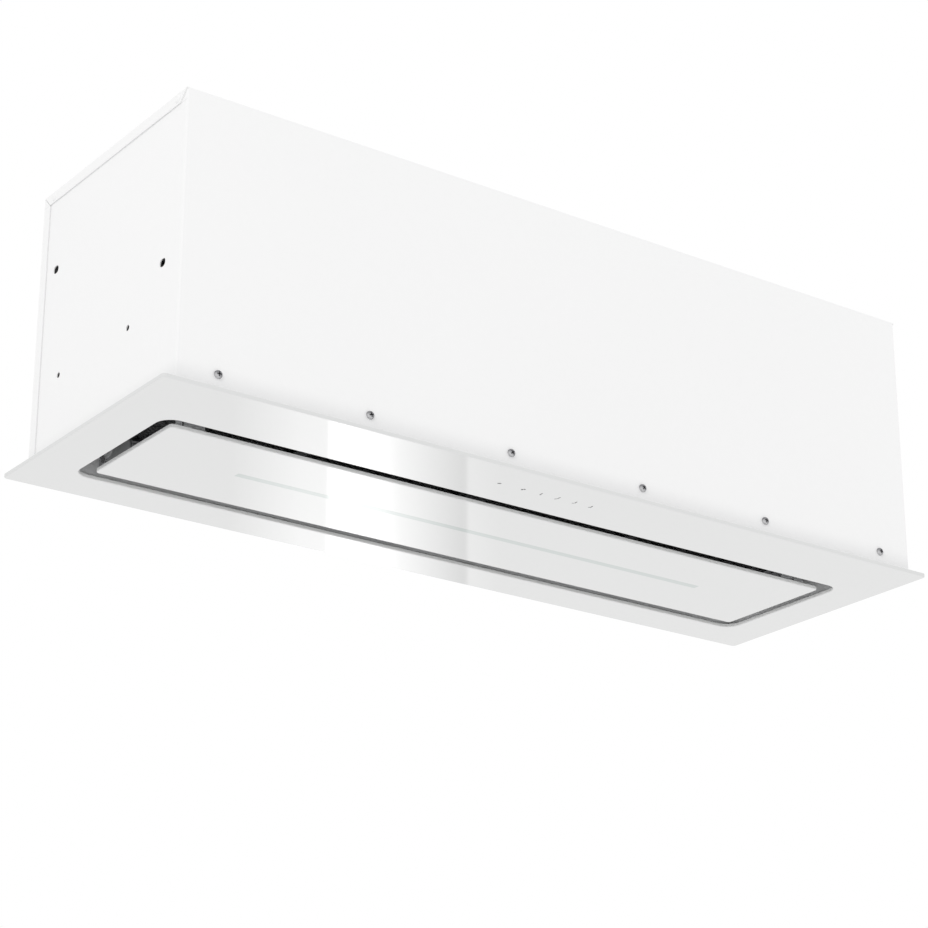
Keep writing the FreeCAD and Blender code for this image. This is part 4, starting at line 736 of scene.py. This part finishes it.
def screw_tree():
    tree, given, out = bring("screw_row", [
        ("Count", "int", 6), ("Start", "vector", (0, 0, 0)), ("Step", "vector", (0.1, 0, 0)),
        ("Turn", "vector", (0, 0, 0)), ("Head Radius", "float", 0.004), ("Head Height", "float", 0.0026),
        ("Shank Radius", "float", 0.0019), ("Shank Length", "float", 0.008), ("Material", "material", None),
        ("Recess Material", "material", None),
    ])
    radius, height = given["Head Radius"], given["Head Height"]
    pan = pulled_head(tree, radius, height, (40, 7), 3.0, PAN_PULL, PAN_CROWN)
    arm_long, arm_wide = (maths(tree, "MULTIPLY", radius, share) for share in RECESS_ARM)
    arm_deep = maths(tree, "MULTIPLY", height, RECESS_DEPTH)
    lift_to = combine(tree, {2: maths(tree, "MULTIPLY", height, RECESS_LIFT)})
    drop_to = combine(tree, {2: maths(tree, "MULTIPLY", height, 0.5)})
    solids = []
    for size_x, size_y in ((arm_long, arm_wide), (arm_wide, arm_long)):
        bar_size = combine(tree, {0: size_x, 1: size_y, 2: arm_deep})
        bar = add(tree, "GeometryNodeMeshCube", {"Size": bar_size}).outputs["Mesh"]
        solids.append(shifted(tree, bar, lift_to))
    cone = add(tree, "GeometryNodeMeshCone", {
        "Vertices": 12, "Radius Top": maths(tree, "MULTIPLY", radius, RECESS_CONE[0]),
        "Radius Bottom": maths(tree, "MULTIPLY", radius, RECESS_CONE[1]), "Depth": arm_deep,
    })
    solids.append(shifted(tree, cone.outputs["Mesh"], drop_to))
    body = coated(tree, pan, given["Material"])
    for solid in solids:
        cut = add(tree, "GeometryNodeMeshBoolean", {0: body}, operation="DIFFERENCE", solver="EXACT")
        tree.links.new(coated(tree, solid, given["Recess Material"]), cut.inputs[1])
        body = cut.outputs["Mesh"]
    shank = coated(tree, sunk_rod(tree, given["Shank Radius"], given["Shank Length"]), given["Material"])
    screw = joined(tree, (body, shank))
    line = line_of_points(tree, given["Count"], given["Start"], given["Step"])
    index = add(tree, "GeometryNodeInputIndex").outputs[0]
    spin_to = combine(tree, {2: maths(tree, "MULTIPLY", index, SCREW_SPIN)})
    facing = add(tree, "FunctionNodeEulerToRotation", {0: given["Turn"]}).outputs[0]
    own_spin = add(tree, "FunctionNodeEulerToRotation", {0: spin_to}).outputs[0]
    turns = {0: facing, 1: own_spin}
    turned = add(tree, "FunctionNodeRotateRotation", turns, rotation_space="LOCAL").outputs[0]
    copies = add(tree, "GeometryNodeInstanceOnPoints", {
        "Points": line, "Instance": screw, "Rotation": turned,
    })
    close_tree(tree, copies.outputs["Instances"], out)
    return tree


screws = screw_tree()
print("screw_row has", len(screws.nodes), "nodes")

# %% the casing's two rows of screws
HEAD_HEIGHT = 0.0026
SCREW_COUNT = 6
for node, facing in (("front_screws", -1), ("rear_screws", 1)):
    low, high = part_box(node)
    radius = (high.z - low.z) / 2
    seat = high.y - HEAD_HEIGHT if facing > 0 else low.y + HEAD_HEIGHT
    pitch = (high.x - low.x - 2 * radius) / (SCREW_COUNT - 1)
    row = grow(node + "_detailed", screws, {
        "Count": SCREW_COUNT, "Start": (low.x + radius, seat, low.z + radius), "Step": (pitch, 0, 0),
        "Turn": (-facing * math.pi / 2, 0, 0), "Head Radius": radius, "Head Height": HEAD_HEIGHT,
        "Material": materials["screw_steel"], "Recess Material": materials["shaded_recess_steel"],
    })
    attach(row, "casing")
    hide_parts(node)
    print(node, "pitch", round(pitch * 1000, 1), "mm,", len(row.data.polygons), "faces")

# %% [markdown]
# ## Rivets
# The top cover's side flanges are riveted to the sides near their ends. A rivet is a low dome with a short
# tail, so a second small tree makes the dome from the same kind of pulled-in cylinder, without a recess.

# %% tree: rivets at given points
RIVET_PULL = 0.3


def rivet_tree():
    tree, given, out = bring("rivet_pair", [
        ("Count", "int", 2), ("Start", "vector", (0, 0, 0)), ("Step", "vector", (0, 0.1, 0)),
        ("Turn", "vector", (0, 0, 0)), ("Head Radius", "float", 0.004), ("Head Height", "float", 0.001),
        ("Tail Length", "float", 0.003), ("Material", "material", None),
    ])
    radius = given["Head Radius"]
    dome = pulled_head(tree, radius, given["Head Height"], (36, 6), 2.0, RIVET_PULL)
    tail = sunk_rod(tree, maths(tree, "MULTIPLY", radius, 0.5), given["Tail Length"])
    rivet = coated(tree, joined(tree, (dome, tail)), given["Material"])
    line = line_of_points(tree, given["Count"], given["Start"], given["Step"])
    facing = add(tree, "FunctionNodeEulerToRotation", {0: given["Turn"]}).outputs[0]
    copies = add(tree, "GeometryNodeInstanceOnPoints", {
        "Points": line, "Instance": rivet, "Rotation": facing,
    })
    close_tree(tree, copies.outputs["Instances"], out)
    return tree


rivets = rivet_tree()
low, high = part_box("flange_rivets")
rivet_radius = (high.z - low.z) / 2
both_pairs = bmesh.new()
for facing, face in ((-1, low.x + MM), (1, high.x - MM)):
    pair = grow("rivet_pair", rivets, {
        "Start": (face, low.y + rivet_radius, low.z + rivet_radius),
        "Step": (0, high.y - low.y - 2 * rivet_radius, 0), "Turn": (0, facing * math.pi / 2, 0),
        "Head Radius": rivet_radius, "Material": materials["white_steel"],
    })
    both_pairs.from_mesh(pair.data)
    bpy.data.objects.remove(pair)
rivet_mesh = bpy.data.meshes.new("flange_rivets_detailed")
both_pairs.to_mesh(rivet_mesh)
both_pairs.free()
rivet_mesh.materials.append(materials["white_steel"])
rivet_set = keep("flange_rivets_detailed", rivet_mesh, 35.0)
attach(rivet_set, "casing")
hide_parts("flange_rivets")
print("rivets have", len(rivet_mesh.polygons), "faces")

# %% [markdown]
# ## Expanded mesh
# A grease filter holds layers of expanded aluminium: sheet that is slit and pulled until the slits open into
# diamonds. Each strand runs as a zigzag, and touches the next strand where the zigzags meet. So one zigzag
# curve is repeated across the filter, every second one shifted by half a cell, and given a flat section.

# %% tree: expanded mesh
STRAND_FLATNESS = 0.7


def mesh_tree():
    tree, given, out = bring("expanded_mesh", [
        ("Centre", "vector", (0, 0, 0)), ("Length", "float", 0.38), ("Depth", "float", 0.16),
        ("Half Cell", "float", 0.004), ("Row Pitch", "float", 0.0028), ("Strand", "float", 0.0006),
        ("Layer Step", "float", 0.001), ("Material", "material", None),
    ])
    steps = maths(tree, "FLOOR", maths(tree, "DIVIDE", given["Length"], given["Half Cell"]))
    points = add(tree, "FunctionNodeFloatToInt", {0: maths(tree, "ADD", steps, 1.0)}).outputs[0]
    start = combine(tree, {0: maths(tree, "MULTIPLY", given["Length"], -0.5)})
    line = line_of_points(tree, points, start, combine(tree, {0: given["Half Cell"]}))
    index = add(tree, "GeometryNodeInputIndex").outputs[0]
    even = maths(tree, "MODULO", index, 2.0)
    swing = maths(tree, "MULTIPLY", maths(tree, "SUBTRACT", even, 0.5), given["Row Pitch"])
    zigzag = add(tree, "GeometryNodeSetPosition", {"Geometry": line, "Offset": combine(tree, {1: swing})})
    curve = add(tree, "GeometryNodeMeshToCurve", {"Mesh": zigzag.outputs["Geometry"]}).outputs["Curve"]
    section = add(tree, "GeometryNodeCurvePrimitiveQuadrilateral", {
        "Width": given["Strand"], "Height": maths(tree, "MULTIPLY", given["Strand"], STRAND_FLATNESS),
    }).outputs["Curve"]
    strand = add(tree, "GeometryNodeCurveToMesh", {
        "Curve": curve, "Profile Curve": section, "Fill Caps": True,
    }).outputs["Mesh"]
    rows = maths(tree, "FLOOR", maths(tree, "DIVIDE", given["Depth"], given["Row Pitch"]))
    row_count = add(tree, "FunctionNodeFloatToInt", {0: rows}).outputs[0]
    half_depth = maths(tree, "MULTIPLY", maths(tree, "SUBTRACT", rows, 1.0),
                       maths(tree, "MULTIPLY", given["Row Pitch"], -0.5))
    step = combine(tree, {1: given["Row Pitch"]})
    parity = maths(tree, "MODULO", add(tree, "GeometryNodeInputIndex").outputs[0], 2.0)
    mirror = combine(tree, {0: 1.0, 1: maths(tree, "MULTIPLY_ADD", parity, -2.0, 1.0), 2: 1.0})
    layers = []
    for sign in (-0.5, 0.5):
        first = combine(tree, {1: half_depth, 2: maths(tree, "MULTIPLY", given["Layer Step"], sign)})
        layers.append(add(tree, "GeometryNodeInstanceOnPoints", {
            "Points": line_of_points(tree, row_count, first, step), "Instance": strand, "Scale": mirror,
        }).outputs["Instances"])
    meshed = coated(tree, joined(tree, layers), given["Material"])
    close_tree(tree, shifted(tree, meshed, given["Centre"]), out)
    return tree


expanded = mesh_tree()
for side in ("left", "right"):
    low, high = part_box("filter_" + side + "_pad")
    pad = grow("filter_" + side + "_mesh", expanded, {
        "Centre": (low + high) / 2, "Length": high.x - low.x, "Depth": high.y - low.y,
        "Material": materials["dark_mesh"],
    })
    cleaned = bmesh.new()
    cleaned.from_mesh(pad.data)
    bmesh.ops.recalc_face_normals(cleaned, faces=cleaned.faces[:])
    cleaned.to_mesh(pad.data)
    cleaned.free()
    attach(pad, "filter_" + side)
    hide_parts("filter_" + side + "_pad")
    print(side, "mesh has", len(pad.data.polygons), "faces")

# %% [markdown]
# ## Printed keys
# The front rim carries a row of six small touch keys, printed near black on the glass. Each key is drawn as one
# or two short strokes or dots: a width, and points in millimetres from the key's centre. A stroke is a thin
# flat bar with rounded ends that stands a few hundredths of a millimetre proud of the glass, as ink does.

# %% the keys' ink
finish_material("key_ink", (0.05, 0.05, 0.052), 0.0, (400.0, 0.2), (EVEN, 3000.0, 0.1, 0.5, 0.1))
KEY_XS = (-72.6, -44.7, -23.7, -4.1, 16.4, 35.8)
KEY_Y = -109.0
INK_HEIGHT = 0.03
END_STEPS = 6
KEY_STROKES = (
    (1.9, (((-0.8, 0.6), (0.8, -0.6)),)),
    (2.0, (((-0.8, 0.9), (-1.1, 0.4)), ((0.8, -0.9), (0.7, -1.2)))),
    (1.1, (((0.2, 2.2), (-0.2, -2.2)),)),
    (1.0, (((-1.2, 2.9), (0.7, 0.5)), ((0.4, -0.7), (0.6, -3.5)))),
    (1.0, (((-1.3, 2.0), (-0.2, 1.5)), ((0.7, 0.5), (0.3, -3.3)))),
    (1.1, (((-0.8, 1.9), (0.8, 0.8)), ((0.8, 0.8), (0.3, -2.6)))),
)


def stroke(target, points, width, low_z, high_z):
    """A flat bar with round ends along each run of a stroke, in millimetres."""
    for (x0, y0), (x1, y1) in zip(points, points[1:]):
        heading = math.atan2(y1 - y0, x1 - x0)
        outline = []
        for cx, cy, start in ((x1, y1, heading - math.pi / 2), (x0, y0, heading + math.pi / 2)):
            for k in range(END_STEPS + 1):
                turn = start + k * math.pi / END_STEPS
                outline.append((cx + width / 2 * math.cos(turn), cy + width / 2 * math.sin(turn)))
        rings = []
        for z in (low_z, high_z):
            rings.append([target.verts.new((x * MM, y * MM, z * MM)) for x, y in outline])
        target.faces.new(reversed(rings[0]))
        target.faces.new(rings[1])
        count = len(outline)
        for k in range(count):
            following = (k + 1) % count
            target.faces.new((rings[0][k], rings[0][following], rings[1][following], rings[1][k]))


glass_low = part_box("glass_frame")[0].z / MM
ink = bmesh.new()
for key_x, (width, strokes) in zip(KEY_XS, KEY_STROKES):
    for points in strokes:
        moved = [(key_x + x, KEY_Y + y) for x, y in points]
        stroke(ink, moved, width, glass_low - INK_HEIGHT, glass_low)
ink_mesh = bpy.data.meshes.new("printed_keys")
ink.to_mesh(ink_mesh)
ink.free()
ink_mesh.materials.append(materials["key_ink"])
keys = keep("printed_keys", ink_mesh, 35.0)
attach(keys, "casing")
print("keys have", len(ink_mesh.polygons), "faces")

# %% [markdown]
# ## The studio
# A ceiling hood hangs high, so the floor lies far below it, pale and plain. The floor is seen only from above:
# its back is clear, so views from underneath are free. Soft light comes from all round, and a little more from
# the front. A tall card stands behind the hood: only glossy faces see it, so the polished glass shows its
# bright band. The card's levels are pairs of a column in the view and the strength of the glow there. They were
# set by comparing renders with the photograph.

# %% world
world = bpy.data.worlds.new("studio")
bpy.context.scene.world = world
world.use_nodes = True
tree = world.node_tree
tree.nodes.clear()
path = add(tree, "ShaderNodeLightPath").outputs
seen = maths(tree, "MAXIMUM", path["Is Camera Ray"],
             maths(tree, "MAXIMUM", path["Is Glossy Ray"], path["Is Transmission Ray"]))
AMBIENT = 0.936
soft = add(tree, "ShaderNodeBackground", {"Color": (1, 1, 1, 1), "Strength": AMBIENT}).outputs[0]
white = add(tree, "ShaderNodeBackground", {"Color": (1, 1, 1, 1), "Strength": 1.0}).outputs[0]
both = add(tree, "ShaderNodeMixShader", {0: seen, 1: soft, 2: white}).outputs[0]
add(tree, "ShaderNodeOutputWorld", {"Surface": both})
bpy.context.scene.view_settings.view_transform = "Standard"
print("world gives", AMBIENT)

# %% floor
FLOOR_Z = -2.6
FLOOR_RADIUS = 30.0
FLOOR_TONE = (0.93, 0.93, 0.93, 1)
floor_mesh = bpy.data.meshes.new("floor")
floor_form = bmesh.new()
bmesh.ops.create_circle(floor_form, cap_ends=True, radius=FLOOR_RADIUS, segments=96)
for vertex in floor_form.verts:
    vertex.co.z = FLOOR_Z
floor_form.normal_update()
floor_form.to_mesh(floor_mesh)
floor_form.free()
floor = bpy.data.objects.new("floor", floor_mesh)
show(floor)
material, tree = bare_material("pale_floor")
pale = add(tree, "ShaderNodeBsdfDiffuse", {"Color": FLOOR_TONE}).outputs[0]
glow = add(tree, "ShaderNodeEmission", {"Strength": 1.0}).outputs[0]
path = add(tree, "ShaderNodeLightPath").outputs
mirrored = maths(tree, "MAXIMUM", path["Is Glossy Ray"], path["Is Transmission Ray"])
front = add(tree, "ShaderNodeMixShader", {0: mirrored, 1: pale, 2: glow}).outputs[0]
clear = add(tree, "ShaderNodeBsdfTransparent").outputs[0]
behind = add(tree, "ShaderNodeNewGeometry").outputs["Backfacing"]
either = add(tree, "ShaderNodeMixShader", {0: behind, 1: front, 2: clear}).outputs[0]
add(tree, "ShaderNodeOutputMaterial", {"Surface": either})
floor_mesh.materials.append(material)
floor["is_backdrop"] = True
print("floor normal", tuple(round(v, 2) for v in floor_mesh.polygons[0].normal))

# %% soft front lights
SOFTBOX_SIZE = (1.2, 1.0)
HOOD_MIDDLE = Vector((0, 0, -0.15))
SOFTBOXES = {"left_softbox": ((-1.9, -1.2, 0.7), 6.3), "right_softbox": ((1.9, -1.4, 0.5), 3.5)}
for name, (spot, power) in SOFTBOXES.items():
    light_data = bpy.data.lights.new(name, "AREA")
    light_data.shape = "RECTANGLE"
    light_data.size, light_data.size_y = SOFTBOX_SIZE
    light_data.energy = power
    light = bpy.data.objects.new(name, light_data)
    light.location = spot
    light.rotation_mode = "QUATERNION"
    light.rotation_quaternion = (HOOD_MIDDLE - light.location).to_track_quat("-Z", "Y")
    light.visible_camera = False
    light.visible_glossy = False
    show(light)
    print(name, light_data.energy, "W")

# %% the upright card
CARD_DISTANCE = 6.0
CARD_LOW, CARD_HIGH = FLOOR_Z + 0.01, -0.6
PIXELS = 928
EYE_ROW = 480.0
focal = camera_data.lens / camera_data.sensor_width * PIXELS
right = camera_aim.cross(Vector((0, 0, 1))).normalized()
down = camera_aim.cross(right).normalized()


def azimuth_of(column):
    """The compass angle of the ray through a column of the view, taken at EYE_ROW. Upright edges stay upright
    in a level mirror."""
    ray = camera_aim + right * ((column - PIXELS / 2) / focal) + down * ((EYE_ROW - PIXELS / 2) / focal)
    return math.atan2(ray.x, ray.y)


CARD_COLUMNS = (215.0, 530.0)
CARD_LEVELS = (
    (215, 1.0), (230, 1.0), (300, 1.85), (326.5, 1.95), (329, 3.4), (380, 2.85), (400, 2.0),
    (430, 1.3), (461, 0.62), (465, 0.62), (469, 1.25), (500, 1.0), (530, 1.0),
)
CARD_PEAK = 3.4
card_form = bmesh.new()
uv_layer = card_form.loops.layers.uv.new("UVMap")
angles = [azimuth_of(column) for column in CARD_COLUMNS]
corners = []
for side, height in ((0, CARD_LOW), (1, CARD_LOW), (1, CARD_HIGH), (0, CARD_HIGH)):
    angle = angles[side]
    x = camera_place.x + CARD_DISTANCE * math.sin(angle)
    y = camera_place.y + CARD_DISTANCE * math.cos(angle)
    corners.append(card_form.verts.new((x, y, height)))
face = card_form.faces.new(corners)
for loop, uv in zip(face.loops, ((0, 0), (1, 0), (1, 1), (0, 1))):
    loop[uv_layer].uv = uv
card_mesh = bpy.data.meshes.new("upright_card")
card_form.to_mesh(card_mesh)
card_form.free()
card = bpy.data.objects.new("upright_card", card_mesh)
show(card)
material, tree = bare_material("card_glow")
across = add(tree, "ShaderNodeSeparateXYZ", {0: add(tree, "ShaderNodeTexCoord").outputs["UV"]}).outputs[0]
ramp = add(tree, "ShaderNodeValToRGB", {"Fac": across})
stops = ramp.color_ramp.elements
span = CARD_COLUMNS[1] - CARD_COLUMNS[0]
while len(stops) < len(CARD_LEVELS):
    stops.new(0.5)
for stop, (column, _) in zip(stops, CARD_LEVELS):
    stop.position = (column - CARD_COLUMNS[0]) / span
for stop, (_, tone) in zip(stops, CARD_LEVELS):
    stop.color = (tone / CARD_PEAK, tone / CARD_PEAK, tone / CARD_PEAK, 1)
level = maths(tree, "MULTIPLY", ramp.outputs["Color"], CARD_PEAK)
glow = add(tree, "ShaderNodeEmission", {"Strength": level}).outputs[0]
clear = add(tree, "ShaderNodeBsdfTransparent").outputs[0]
mirrored = add(tree, "ShaderNodeLightPath").outputs["Is Glossy Ray"]
either = add(tree, "ShaderNodeMixShader", {0: mirrored, 1: clear, 2: glow}).outputs[0]
add(tree, "ShaderNodeOutputMaterial", {"Surface": either})
card_mesh.materials.append(material)
card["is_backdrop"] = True
card_width = round(math.degrees(angles[1] - angles[0]), 1)
print("card stands", CARD_DISTANCE, "m from the camera's foot,", card_width, "degrees wide")

# %% [markdown]
# ## Check and finish
# The looks must not change the object's size. The measured box and the box with all detail on are compared,
# and the largest difference between them is printed.

# %% sizes and finish
shown_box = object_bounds()
growth = max(abs(a - b) for p, q in zip(cad_box, shown_box) for a, b in zip(p, q))
print("the detail adds at most", round(growth * 1000, 2), "mm")
